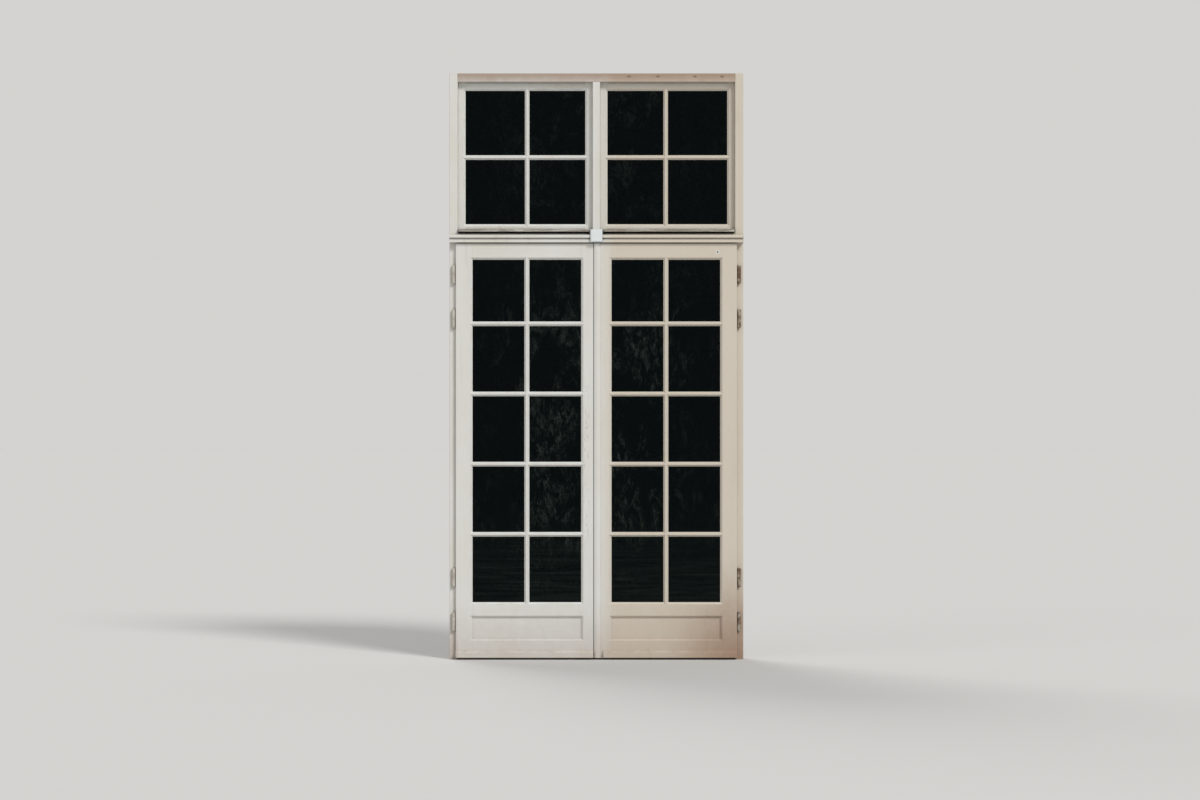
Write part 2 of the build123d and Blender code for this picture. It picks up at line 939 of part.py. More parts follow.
def keepers():
    """Four keeper plates let into the transom bar and the threshold, one for each rod."""
    with BuildPart() as plates:
        for x in rod_places:
            for z in (transom_stop_bottom, threshold_height - keeper_thickness):
                with BuildSketch(Plane.XY.offset(z)):
                    with Locations((x, rod_y)):
                        Rectangle(keeper_width, keeper_depth)
                        Circle(rod_radius + keeper_clearance, mode=Mode.SUBTRACT)
                extrude(amount=keeper_thickness)
    return plates.part


door_bar_centres = row_centres(door_light, door_pane_height, door_rows)
sash_pane_height = (sash_light.top - sash_light.bottom - bar_width) / 2
sash_bar_centres = row_centres(sash_light, sash_pane_height, 2)
door_glazing = glazing_cutter(door_light)
door_panel_cut = panel_cutter(door_panel)
sash_glazing = glazing_cutter(sash_light)

door_rails = (
    (leaf_bottom, panel_bottom),
    (panel_top, light_bottom),
    (light_top, leaf_top),
)
sash_rails = (
    (sash_bottom, sash_light.bottom),
    (sash_light.top, sash_top),
)
sash_tenon_length = tenon_length / 2


def cut_leaf_joints():
    """Cut a door stile's rebates and mortises out of the current part."""
    add(door_glazing, mode=Mode.SUBTRACT)
    add(door_panel_cut, mode=Mode.SUBTRACT)
    for low, high in door_rails:
        add(rail_tenons(door_light, low, high, tenon_length, joint_slack), mode=Mode.SUBTRACT)
    add(bar_tenons(door_light, door_bar_centres, joint_slack), mode=Mode.SUBTRACT)


def hinge_stile():
    """Hanging stile, with the lip that laps over the front of the jamb."""
    with BuildPart() as stile:
        with BuildSketch(Plane.XY.offset(leaf_bottom)):
            closed_face(
                [
                    (door_light.right, leaf_front),
                    (leaf_side, leaf_front),
                    (leaf_side, frame_front - lap_gap),
                    (leaf_body_side, frame_front - lap_gap),
                    (leaf_body_side, leaf_back),
                    (door_light.right, leaf_back),
                ]
            )
        extrude(amount=leaf_top - leaf_bottom)
        lip_edge = stile.edges().filter_by(Axis.Z).sort_by(Axis.X)[-2:].sort_by(Axis.Y)[0]
        chamfer(lip_edge, arris)
        cut_leaf_joints()
        add(leaf_hinge_plates(plate_slack), mode=Mode.SUBTRACT)
    return stile.part


def meeting_stile(edge):
    """Stile beside the other leaf, square-edged, from the seam to the sight line."""
    with BuildPart() as stile:
        with BuildSketch(Plane.XY.offset(leaf_bottom)):
            rectangle_between((edge, leaf_front), (door_light.left, leaf_back))
        extrude(amount=leaf_top - leaf_bottom)
        seam_edges = stile.edges().filter_by(Axis.Z).group_by(Axis.X)[0]
        chamfer(seam_edges, arris / 2)
        cut_leaf_joints()
    return stile.part


def door_rail(low, high):
    """A rail between the stiles, tenoned at both ends."""
    with BuildPart() as rail:
        box_between((door_light.left, leaf_front, low), (door_light.right, leaf_back, high))
        add(door_glazing, mode=Mode.SUBTRACT)
        add(door_panel_cut, mode=Mode.SUBTRACT)
        mortises = bar_tenons(door_light, door_bar_centres, joint_slack)
        add(mortises, mode=Mode.SUBTRACT)
        add(rail_tenons(door_light, low, high, tenon_length))
    return rail.part


def door_panel_board():
    """Bottom panel: flat outside, tongued all round, with a raised field towards the room."""
    front = leaf_front + panel_setback + panel_slack
    back = leaf_front + panel_setback + panel_thickness - panel_slack
    sheet = opening_outline(door_panel, back, (panel_tongue,) * 4)
    field = opening_outline(door_panel, back, (-panel_field_inset,) * 4)
    field_inset = panel_field_inset + panel_field_slope
    field_face = opening_outline(door_panel, back + panel_field_height, (-field_inset,) * 4)
    with BuildPart() as board:
        extrude(sheet, amount=back - front)
        loft([field, field_face])
    return board.part


def weather_board(start):
    """Sloped board across the foot of a leaf, throated below."""
    low = leaf_bottom + board_floor_gap
    front = leaf_front - board_reach
    throat = front + drip_inset
    with BuildPart() as board:
        with BuildSketch(Plane.YZ.offset(start)):
            closed_face(
                [
                    (leaf_front, low),
                    (throat + drip_width / 2, low),
                    (throat, low + drip_depth),
                    (throat - drip_width / 2, low),
                    (front + board_edge, low),
                    (front, low + board_edge),
                    (front, low + board_height - board_slope - board_edge),
                    (front + board_edge, low + board_height - board_slope),
                    (leaf_front, low + board_height),
                ]
            )
        extrude(amount=leaf_side - start)
    return board.part


def astragal():
    """Rounded cover strip planted along the meeting edge of the right-hand leaf."""
    left = right_leaf_edge
    right = left + astragal_width
    middle = (left + right) / 2
    shoulder = leaf_front - astragal_edge
    with BuildPart() as strip:
        with BuildSketch(Plane.XY.offset(leaf_bottom + board_floor_gap)):
            with BuildLine():
                Polyline((left, shoulder), (left, leaf_front), (right, leaf_front), (right, shoulder))
                ThreePointArc((right, shoulder), (middle, leaf_front - astragal_thickness), (left, shoulder))
            make_face()
        extrude(amount=leaf_top - leaf_bottom - board_floor_gap)
    return strip.part


def sash_stile(left, right):
    """Stile of a sash, with its glass rebate and mortises."""
    with BuildPart() as stile:
        box_between((left, sash_front, sash_bottom), (right, sash_back, sash_top))
        add(sash_glazing, mode=Mode.SUBTRACT)
        for low, high in sash_rails:
            mortises = rail_tenons(sash_light, low, high, sash_tenon_length, joint_slack)
            add(mortises, mode=Mode.SUBTRACT)
        add(bar_tenons(sash_light, sash_bar_centres, joint_slack), mode=Mode.SUBTRACT)
    return stile.part


def sash_rail(low, high):
    """Rail of a sash, between its stiles."""
    with BuildPart() as rail:
        box_between((sash_light.left, sash_front, low), (sash_light.right, sash_back, high))
        add(sash_glazing, mode=Mode.SUBTRACT)
        add(bar_tenons(sash_light, sash_bar_centres, joint_slack), mode=Mode.SUBTRACT)
        add(rail_tenons(sash_light, low, high, sash_tenon_length))
    return rail.part


def sash_bottom_rail():
    """Bottom rail of a sash, with the weather board that stands out over the sill's upstand."""
    low = upstand_top + sash_board_lift
    front = sash_front - sash_board_reach
    throat = front + drip_inset
    start = block_width / 2 + sash_board_block_gap
    end = sash_sight_side - sash_board_jamb_gap
    with BuildPart() as rail:
        add(sash_rail(sash_bottom, sash_light.bottom))
        with BuildSketch(Plane.YZ.offset(start)):
            closed_face(
                [
                    (sash_front, low),
                    (throat + drip_width / 2, low),
                    (throat, low + drip_depth),
                    (throat - drip_width / 2, low),
                    (front, low),
                    (front, low + sash_board_height - sash_board_slope),
                    (sash_front, low + sash_board_height),
                ]
            )
        extrude(amount=end - start)
    return rail.part


def guide_section(x, flange):
    """Section of a rod guide: a flange on the wood and an arch around the rod."""
    arch = rod_radius + rod_clearance + guide_wall
    rectangle_between((x - guide_width / 2, leaf_back), (x + guide_width / 2, leaf_back + flange))
    rectangle_between((x - arch, leaf_back), (x + arch, rod_y))
    with Locations((x, rod_y)):
        Circle(arch)
        Circle(rod_radius + rod_clearance, mode=Mode.SUBTRACT)


def rod_guides():
    """Guides that hold the cremone rods against the meeting stile, three above and three below."""
    upper_near = cremone_height + near_guide_reach
    upper_far = leaf_top - upper_guide_inset
    lower_near = cremone_height - near_guide_reach
    lower_far = leaf_bottom + lower_guide_inset
    upper_heights = (upper_near, (upper_near + upper_far) / 2, upper_far)
    lower_heights = (lower_near, (lower_near + lower_far) / 2, lower_far)
    with BuildPart() as guides:
        for z in upper_heights + lower_heights:
            with BuildSketch(Plane.XY.offset(z - guide_height / 2)):
                guide_section(cremone_place, guide_flange)
            extrude(amount=guide_height)
    return guides.part


def bolt_plates():
    """Back plates of the surface bolts, each with two guides."""
    with BuildPart() as plates:
        for low in (rod_bottom, rod_top - bolt_length):
            first = low + bolt_guide_inset
            for z in (first, first + bolt_guide_spacing):
                with BuildSketch(Plane.XY.offset(z - guide_height / 2)):
                    guide_section(bolt_place, bolt_plate)
                extrude(amount=guide_height)
            box_between(
                (bolt_place - guide_width / 2, leaf_back, first - guide_height / 2),
                (
                    bolt_place + guide_width / 2,
                    leaf_back + bolt_plate,
                    first + bolt_guide_spacing + guide_height / 2,
                ),
            )
    return plates.part


def surface_bolt(low, knob_height):
    """Round shooting bolt with a ball knob towards the room."""
    room = Plane((bolt_place, rod_y, knob_height), x_dir=(1, 0, 0), z_dir=(0, 1, 0))
    with BuildPart() as bolt:
        with BuildSketch(Plane.XY.offset(low)):
            with Locations((bolt_place, rod_y)):
                Circle(rod_radius)
        extrude(amount=bolt_length)
        chamfer(bolt.edges().filter_by(GeomType.CIRCLE), edge_break)
        with BuildSketch(room):
            Circle(bolt_neck_radius)
        extrude(amount=bolt_knob_reach)
        with Locations((bolt_place, rod_y + bolt_knob_reach, knob_height)):
            Sphere(bolt_knob_radius)
    return bolt.part


# Rack and pinion sizes
pitch_radius = gear_module * pinion_teeth / 2
tip_radius = pitch_radius + addendum_share * gear_module
root_radius = pitch_radius - dedendum_share * gear_module
base_radius = pitch_radius * cos(radians(pressure_angle))
tooth_pitch = pi * gear_module
gear_back = rod_y - gear_width / 2
gear_front = rod_y + gear_width / 2
rack_teeth_below = pinion_teeth // 4 + 1


def involute(radius):
    """Involute angle at a radius outside the base circle."""
    angle = acos(base_radius / radius)
    return tan(angle) - angle


def tooth_half_angle(radius):
    """Half the angle that a pinion tooth fills at a radius."""
    at_pitch = (tooth_pitch - backlash) / 4 / pitch_radius
    return at_pitch + involute(pitch_radius) - involute(max(radius, base_radius))


def pinion_tooth():
    """One tooth of the pinion, pointing along the sketch's X axis."""
    def flank(radius, side):
        angle = tooth_half_angle(radius) * side
        return radius * cos(angle), radius * sin(angle)

    middle = (base_radius + tip_radius) / 2
    half_root = flank(base_radius, 1)[1]
    with BuildLine() as outline:
        ThreePointArc(flank(base_radius, -1), flank(middle, -1), flank(tip_radius, -1))
        ThreePointArc(flank(tip_radius, -1), (tip_radius, 0), flank(tip_radius, 1))
        ThreePointArc(flank(tip_radius, 1), flank(middle, 1), flank(base_radius, 1))
        Polyline(flank(base_radius, 1), (0, half_root), (0, -half_root), flank(base_radius, -1))
    make_face(outline.edges())


def cremone_pinion():
    """Pinion on its spindle: a stub in the base plate, a journal in the cover, a square for the knob."""
    room = Plane((cremone_place, 0, cremone_height), x_dir=(1, 0, 0), z_dir=(0, 1, 0))
    stub_start = leaf_back + spindle_stub_gap
    journal_end = leaf_back + case_base + case_depth + boss_height
    with BuildSketch() as tooth:
        pinion_tooth()
    with BuildPart() as pinion:
        with BuildSketch(room.offset(gear_back)):
            Circle(root_radius)
            with PolarLocations(0, pinion_teeth):
                add(tooth.sketch)
        extrude(amount=gear_width)
        with BuildSketch(room.offset(stub_start)):
            Circle(spindle_stub_radius)
        extrude(amount=gear_back - stub_start)
        with BuildSketch(room.offset(gear_front)):
            Circle(spindle_radius)
        extrude(amount=journal_end - gear_front)
        with BuildSketch(room.offset(journal_end)):
            Rectangle(spindle_square, spindle_square)
        extrude(amount=spindle_length)
    return pinion.part


def cremone_rod(reach):
    """Cremone rod with its cranked rack, up to an end that lies at the reach from the spindle."""
    crank_low = cremone_height + tip_radius + crank_gap
    crank_high = crank_low + crank_height
    pitch_line = cremone_place + pitch_radius
    tooth_tip = pitch_line - addendum_share * gear_module
    tooth_root = pitch_line + dedendum_share * gear_module
    rack_outer = tooth_root + rack_back
    rack_low = cremone_height - rack_teeth_below * tooth_pitch
    rack_teeth_above = int((crank_low - cremone_height) / tooth_pitch)
    half_tooth = (tooth_pitch - backlash) / 4
    half_root = half_tooth + (tooth_root - pitch_line) * tan(radians(pressure_angle))
    half_tip = half_tooth - (pitch_line - tooth_tip) * tan(radians(pressure_angle))
    with BuildPart() as rod:
        with BuildSketch(Plane.XY.offset(crank_low)):
            with Locations((cremone_place, rod_y)):
                Circle(rod_radius)
        extrude(amount=cremone_height + reach - crank_low)
        chamfer(rod.edges().filter_by(GeomType.CIRCLE).sort_by(Axis.Z)[-1], edge_break)
        box_between((cremone_place, gear_back, crank_low), (rack_outer, gear_front, crank_high))
        with BuildSketch(Plane.XZ.offset(-gear_front)):
            rectangle_between((tooth_root, rack_low), (rack_outer, crank_high))
            for number in range(-rack_teeth_below, rack_teeth_above):
                z = cremone_height + (number + 0.5) * tooth_pitch
                closed_face(
                    [
                        (rack_outer, z - half_root),
                        (tooth_root, z - half_root),
                        (tooth_tip, z - half_tip),
                        (tooth_tip, z + half_tip),
                        (tooth_root, z + half_root),
                        (rack_outer, z + half_root),
                    ]
                )
        extrude(amount=gear_width)
    return rod.part


def lower_cremone_rod():
    """Lower cremone rod: made as an upper one, and turned half round about the spindle."""
    spindle = Axis((cremone_place, 0, cremone_height), (0, 1, 0))
    return cremone_rod(cremone_height - rod_bottom).rotate(spindle, 180)


def cremone_base():
    """Back plate of the cremone case, with the hole for the spindle's stub."""
    face = Plane((cremone_place, leaf_back, cremone_height), x_dir=(1, 0, 0), z_dir=(0, 1, 0))
    with BuildPart() as plate:
        with BuildSketch(face):
            SlotOverall(case_length, case_width, rotation=90)
            Circle(spindle_stub_radius + pin_clearance, mode=Mode.SUBTRACT)
        extrude(amount=case_base)
    return plate.part


def cremone_cover():
    """Hollow cover over the rack and pinion, with a boss around the spindle."""
    start = leaf_back + case_base
    room = Plane((cremone_place, start, cremone_height), x_dir=(1, 0, 0), z_dir=(0, 1, 0))
    with BuildPart() as cover:
        with BuildSketch(room):
            SlotOverall(case_length, case_width, rotation=90)
        extrude(amount=case_depth)
        fillet(cover.faces().sort_by(Axis.Y)[-1].edges(), case_round)
        with BuildSketch(room.offset(case_depth)):
            Circle(boss_radius)
        extrude(amount=boss_height)
        with BuildSketch(room):
            SlotOverall(case_length - 2 * case_wall, case_width - 2 * case_wall, rotation=90)
        extrude(amount=case_depth - case_wall, mode=Mode.SUBTRACT)
        with BuildSketch(room):
            Circle(spindle_radius + pin_clearance)
        extrude(amount=case_depth + boss_height, mode=Mode.SUBTRACT)
        with BuildSketch(Plane.XY.offset(cremone_height - case_length)):
            with Locations((cremone_place, rod_y)):
                Circle(rod_radius + case_rod_clearance)
        extrude(amount=2 * case_length, mode=Mode.SUBTRACT)
    return cover.part


def cremone_knob():
    """Olive-shaped knob on a turned neck, with a square socket for the spindle."""
    start = leaf_back + case_base + case_depth + boss_height + knob_face_gap
    centre = start + spindle_length + knob_diameter / 4
    half = knob_length / 2
    radius = knob_diameter / 2
    across = Plane((cremone_place, centre, cremone_height), x_dir=(1, 0, 0), z_dir=(0, 0, 1))
    room = Plane((cremone_place, start, cremone_height), x_dir=(1, 0, 0), z_dir=(0, 1, 0))
    with BuildPart() as knob:
        with BuildSketch(across):
            with BuildLine():
                ThreePointArc((-half, knob_end_radius), (0, radius), (half, knob_end_radius))
                Polyline((half, knob_end_radius), (half, 0), (-half, 0), (-half, knob_end_radius))
            make_face()
        revolve(axis=Axis((cremone_place, centre, cremone_height), (1, 0, 0)))
        chamfer(knob.faces().filter_by(Axis.X).edges(), edge_break)
        with BuildSketch(room):
            Circle(knob_foot_radius)
        with BuildSketch(room.offset(knob_foot_length)):
            Circle(knob_neck_radius)
        loft()
        with BuildSketch(room.offset(knob_foot_length)):
            Circle(knob_neck_radius)
        extrude(amount=centre - start - knob_foot_length)
        with BuildSketch(room):
            Rectangle(spindle_square + joint_slack, spindle_square + joint_slack)
        extrude(amount=spindle_length, mode=Mode.SUBTRACT)
    return knob.part


def turn_button(height):
    """Turn button on the mullion. Upright it is clear of the sashes, and level it holds both."""
    room = Plane((0, frame_back + button_gap, height), x_dir=(1, 0, 0), z_dir=(0, 1, 0))
    with BuildPart() as button:
        with BuildSketch(room):
            SlotOverall(button_length, button_width, rotation=90)
        extrude(amount=button_thickness)
        chamfer(button.faces().sort_by(Axis.Y)[-1].edges(), edge_break)
        with BuildSketch(room):
            Circle(button_hub_radius)
        extrude(amount=button_hub_height)
        with BuildSketch(room.offset(-button_gap - button_pin_depth)):
            Circle(button_pin_radius)
        extrude(amount=button_gap + button_pin_depth)
    return button.part


# Frame
save_pair(jamb(), "jamb")
save(head(), "head")
save(transom_bar(), "transom_bar")
save(mullion(), "mullion")
save(transom_block(), "transom_block")
save(threshold(), "threshold")
save(keepers(), "keepers")
save(frame_hinge_halves(), "frame_hinge_halves")
save(turn_button(lower_button_height), "lower_turn_button")
save(turn_button(upper_button_height), "upper_turn_button")

# Both leaves
save_pair(hinge_stile(), "hinge_stile")
save(mirror(meeting_stile(left_leaf_edge), about=Plane.YZ), "left_meeting_stile")
save(meeting_stile(right_leaf_edge), "right_meeting_stile")
for rail_name, (rail_low, rail_high) in zip(("bottom_rail", "lock_rail", "top_rail"), door_rails):
    save_pair(door_rail(rail_low, rail_high), rail_name)
save_pair(door_panel_board(), "panel")
save_pair(glazing_bars(door_light, door_bar_width, door_bar_centres), "glazing_bars")
save_pair(panes(door_light, door_bar_width, door_bar_centres), "panes")
save_pair(putty(door_light, door_bar_width, door_bar_centres), "putty")
save_pair(leaf_hinge_halves(), "hinge_halves")
save(mirror(weather_board(left_leaf_edge), about=Plane.YZ), "left_weather_board")
right_board_start = right_leaf_edge + astragal_width + astragal_margin
save(weather_board(right_board_start), "right_weather_board")
save(astragal(), "astragal")

# Bolts
save(bolt_plates(), "bolt_plates")
save(surface_bolt(rod_top - bolt_length, rod_top - bolt_length / 2), "top_bolt")
save(surface_bolt(rod_bottom, rod_bottom + bolt_length / 2), "bottom_bolt")
save(rod_guides(), "rod_guides")
save(cremone_base(), "cremone_base")
save(cremone_cover(), "cremone_cover")
save(cremone_pinion(), "cremone_pinion")
save(cremone_knob(), "cremone_knob")
save(cremone_rod(rod_top - cremone_height), "upper_rod")
save(lower_cremone_rod(), "lower_rod")

# Both sashes
save_pair(sash_stile(sash_light.right, sash_side), "sash_hinge_stile")
save_pair(sash_stile(sash_inner_side, sash_light.left), "sash_mullion_stile")
save_pair(sash_rail(sash_light.top, sash_top), "sash_top_rail")
save_pair(sash_bottom_rail(), "sash_bottom_rail")
save_pair(glazing_bars(sash_light, bar_width, sash_bar_centres), "sash_glazing_bars")
save_pair(panes(sash_light, bar_width, sash_bar_centres), "sash_panes")
save_pair(putty(sash_light, bar_width, sash_bar_centres), "sash_putty")
save_pair(sash_hinge_halves(), "sash_hinge_halves")
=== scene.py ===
from math import cos, pi, radians, sin

import bmesh
import bpy
from bpy.props import FloatProperty, FloatVectorProperty, IntProperty, PointerProperty
from bpy.types import Operator, Panel, PropertyGroup
from mathutils import Matrix, Vector


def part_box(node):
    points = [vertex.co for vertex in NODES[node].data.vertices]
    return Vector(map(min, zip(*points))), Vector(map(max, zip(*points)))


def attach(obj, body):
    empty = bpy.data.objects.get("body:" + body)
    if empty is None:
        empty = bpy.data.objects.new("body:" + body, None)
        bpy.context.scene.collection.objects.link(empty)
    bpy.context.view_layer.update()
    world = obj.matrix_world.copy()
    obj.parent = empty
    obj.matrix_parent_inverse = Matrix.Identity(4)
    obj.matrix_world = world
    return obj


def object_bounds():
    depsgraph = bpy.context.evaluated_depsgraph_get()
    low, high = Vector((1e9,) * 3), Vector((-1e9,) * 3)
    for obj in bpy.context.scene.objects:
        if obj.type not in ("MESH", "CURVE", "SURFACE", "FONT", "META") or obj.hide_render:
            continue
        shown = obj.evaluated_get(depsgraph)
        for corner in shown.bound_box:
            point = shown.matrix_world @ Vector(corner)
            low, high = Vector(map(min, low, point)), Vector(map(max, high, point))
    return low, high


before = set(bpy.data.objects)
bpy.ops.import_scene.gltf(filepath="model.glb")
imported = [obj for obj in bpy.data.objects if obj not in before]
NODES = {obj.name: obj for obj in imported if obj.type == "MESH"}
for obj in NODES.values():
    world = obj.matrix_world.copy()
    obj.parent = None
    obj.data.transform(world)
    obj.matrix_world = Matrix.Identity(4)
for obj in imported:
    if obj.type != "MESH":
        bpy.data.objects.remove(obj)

bl_info = {
    "name": "French Door Finishes",
    "version": (1, 0, 0),
    "blender": (4, 5, 0),
    "location": "3D View > Sidebar > Door",
    "description": "Paint, glass, ironwork, screws and a plain studio for a french door",
    "category": "Object",
}

# Lengths are metres. X runs along the door, Y into the room and Z up, as in the frame.

DOOR_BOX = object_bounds()


def colour_property(name, description, default):
    """Colour as it is seen on a screen, for a settings group."""
    return FloatVectorProperty(
        name=name, description=description, default=default, size=3, min=0, max=1, subtype="COLOR_GAMMA"
    )


def length_property(name, description, default):
    """Length in metres, for a settings group."""
    return FloatProperty(name=name, description=description, default=default, unit="LENGTH")


class PaintSettings(PropertyGroup):
    """Colours and wear of the painted timber."""

    white: colour_property("White", "Old oil paint where it is clean", (0.86, 0.863, 0.852))
    aged_white: colour_property("Aged white", "Paint where it has yellowed", (0.80, 0.768, 0.70))
    # Painted shade: the right-hand side is tinted with this colour, warmer and darker, in place of its
    # shade.
    shaded_warm_white: colour_property("Warm white", "The paint of the right-hand side", (0.79, 0.735, 0.655))
    block_white: colour_property("Block white", "Fresher paint on the block", (0.87, 0.895, 0.90))
    # This colour lays dirt, and painted shade where occlusion darkens corners.
    grime_and_shade: colour_property("Grime", "Dirt that gathers in corners", (0.38, 0.32, 0.25))
    # This stain colour also makes the head browner, where it is partly painted shade.
    splash: colour_property("Splash stain", "Brown stain near the ground", (0.57, 0.45, 0.365))
    # Painted shade: near-black colour laid into deep joints and gaps.
    joint_shade: colour_property("Soot", "Black dirt in deep joints", (0.10, 0.085, 0.07))
    rust_mark: colour_property("Rust mark", "Rust that nails bled into the head", (0.33, 0.21, 0.14))
    bare_wood: colour_property("Bare wood", "Wood where paint has gone", (0.50, 0.45, 0.38))
    weathered: colour_property("Weathered", "Grey, rubbed paint of the sash boards", (0.46, 0.43, 0.38))
    stroke_width: length_property("Brush stroke", "Width of a brush mark", 0.0035)
    stroke_length: length_property("Stroke length", "Length of a brush mark", 0.16)
    stroke_depth: length_property("Stroke depth", "Depth of a brush mark", 0.00022)
    splash_height: length_property("Splash height", "Height that ground splashes reach", 0.25)
    stain_height: length_property("Stain height", "Height of the stain at the right-hand foot", 0.5)
    # Painted shade: how far the right-hand side takes that tint.
    right_side_shade: FloatProperty(
        name="Right side age", description="How much warmer the right-hand side is",
        default=0.7, subtype="FACTOR",
    )
    rub_depth: length_property("Rubbed edge", "How far the wear reaches in from an edge", 0.0012)


class GlassSettings(PropertyGroup):
    """Look of the panes: their dark colour is painted shade of an unlit room behind them."""

    # Painted shade: near-black glass in place of the unlit room's shade behind it.
    deep: colour_property("Deep", "Glass in front of the dark room", (0.018, 0.034, 0.040))
    # Painted reflection and dust: the colour of the mottled patches, the low streaks and the dust at the
    # edges.
    dust_and_reflection: colour_property("Veil", "Faint film of dust and age", (0.235, 0.262, 0.248))
    gloss: colour_property("Gloss", "What the face of the glass throws back", (0.25, 0.28, 0.28))
    wave_length: length_property("Wave", "Distance between waves of the drawn sheet", 0.11)
    wave_depth: length_property("Wave depth", "Height of those waves", 0.0004)


class IronworkSettings(PropertyGroup):
    """Metals of the hinges, bolts and screws."""

    steel: colour_property("Steel", "Drawn steel of the rods and bolts", (0.56, 0.55, 0.53))
    tarnish: colour_property("Tarnish", "Brown film on handled steel", (0.44, 0.40, 0.36))
    iron: colour_property("Iron", "Oiled iron of the pinion", (0.20, 0.20, 0.205))
    brass: colour_property("Brass", "Rubbed brass", (0.80, 0.63, 0.34))
    dull_brass: colour_property("Dull brass", "Brass where hands don't reach", (0.45, 0.34, 0.19))
    rust: colour_property("Rust", "Rust that shows through paint", (0.37, 0.27, 0.185))
    plate_screw_radius: length_property("Plate screw", "Head radius of the screws in plates", 0.0026)
    case_screw_radius: length_property("Case screw", "Head radius of the screws in the case", 0.0036)
    nail_radius: length_property("Nail", "Head radius of the old nail", 0.004)
    screw_segments: IntProperty(name="Screw segments", description="Sides of a screw head", default=24)


class SeamSettings(PropertyGroup):
    """Dark felt strip in the seam between the leaves, a dark piece that stands in for the seam's shade.
    """

    # Painted shade: the felt's dark colours darken the seam.
    felt: colour_property("Felt", "Dark felt", (0.13, 0.12, 0.11))
    worn_felt: colour_property("Worn felt", "Dusty, worn felt", (0.24, 0.22, 0.20))
    width: length_property("Strip width", "Width of the strip", 0.006)
    setback: length_property("Strip setback", "From the leaf's outside face to the strip", 0.02)
    clearance: length_property("Strip clearance", "From the strip to the other leaf", 0.0004)
    end_margin: length_property("End margin", "From the strip to the leaf's ends", 0.001)
    ruffle: FloatProperty(
        name="Ruffle", description="Share of its thickness that the felt varies by",
        default=0.12, subtype="FACTOR",
    )
    steps: IntProperty(name="Strip steps", description="Lengths along the strip", default=160)


class StageSettings(PropertyGroup):
    """Floor, background, lamps and camera."""

    floor: colour_property("Floor", "Pale studio floor", (0.80, 0.795, 0.785))
    backdrop: colour_property("Backdrop", "Pale background", (0.83, 0.825, 0.815))
    floor_radius: length_property("Floor radius", "Size of the floor", 150)
    sky_level: FloatProperty(name="Sky", description="Even light from all round", default=0.44)
    key_level: FloatProperty(name="Key", description="Lamp at the upper right, in front", default=1.9)
    fill_level: FloatProperty(name="Fill", description="Lamp at the left, in front", default=0.25)
    back_level: FloatProperty(name="Back", description="Lamp behind the door", default=1.2)
    camera_distance: length_property("Camera distance", "From the camera to the frame", 15)
    camera_height: length_property("Camera height", "Height of the camera", 1.183)
    camera_side: length_property("Camera side", "Camera's place along the door", 0.019)
    lens: FloatProperty(name="Lens", description="Focal length in millimetres", default=86.2)
    rise: FloatProperty(name="Rise", description="Upward shift of the frame", default=0.0267)


# Components of a vector
X, Y, Z = 0, 1, 2

# Where the glass of a leaf and of a sash begins and ends, as distances from the middle of the door
LIGHT_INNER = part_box("right_meeting_stile")[1].x
LIGHT_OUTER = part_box("right_hinge_stile")[0].x
SASH_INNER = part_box("right_sash_mullion_stile")[1].x
SASH_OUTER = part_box("right_sash_hinge_stile")[0].x

# Other places that the paint follows
UPRIGHT_BAR = (LIGHT_INNER + LIGHT_OUTER) / 2
UPRIGHT_BAR_REACH = 0.013
LEAF_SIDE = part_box("right_hinge_stile")[1].x
SASH_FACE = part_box("right_sash_hinge_stile")[0].y
SASH_BOARD_REACH = 0.02
NAIL_PLACE = (0.630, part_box("right_top_rail")[0].y, 2.119)
LOCK_HEIGHT = (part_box("cremone_cover")[0].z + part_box("cremone_cover")[1].z) / 2
HAND_LINE = -0.054
HEAD_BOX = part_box("head")
HEAD_MARKS = [(x, HEAD_BOX[0].y, 3.034) for x in (0.170, 0.321, 0.513, 0.654)]
HEAD_MARK_RADIUS = 0.0085
HEAD_MARK_SCALE = (0.5, 1, 1)
STAIN_FULL_HEIGHT = -0.12
SCUFF_FADE = 0.012

# Places along X between which a look changes
# Painted shade: the right-hand side's tint begins between these places.
SHADED_SIDE = (-0.02, 0.12)
# Painted shade and rust: the ironwork grows darker between these places.
RUST_AND_SHADE_SIDE = (-0.6, 0.6)
RISING_STAIN = (0.15, LEAF_SIDE)
RIGHT_FOOT = (0.3, LEAF_SIDE)
LEFT_FOOT = (-0.69, -LEAF_SIDE)

# Distances between which a look changes: from the middle of the door, a nail, a line or the lock
WALKED = (LIGHT_OUTER, 0.2)
# Painted reflection: the mottled patches fade between these distances.
REFLECTION_BY_SEAM = (0.25, 0.55)
TOUCHED_UP = (0.014, 0.008)
HANDS_ASIDE = (0.022, 0.002)
HANDS_UPWARD = (0.6, 0.2)

# Heights between which a look changes
# Painted shade and dirt: the head grows browner between these heights, towards its top.
HEAD_BROWN_AND_SHADE = (HEAD_BOX[0].z - 0.07, HEAD_BOX[1].z - 0.02)
TOP_ROW = (1.7, 1.95)
LOW_ROW = (0.7, 0.45)
LOW_STREAKS = (0.85, 0.3)


def linear(colour, strength=1.0):
    """Screen colour as the linear RGBA value that a shader socket takes."""
    decoded = [c / 12.92 if c < 0.04045 else ((c + 0.055) / 1.055) ** 2.4 for c in colour]
    return [strength * c for c in decoded] + [1.0]


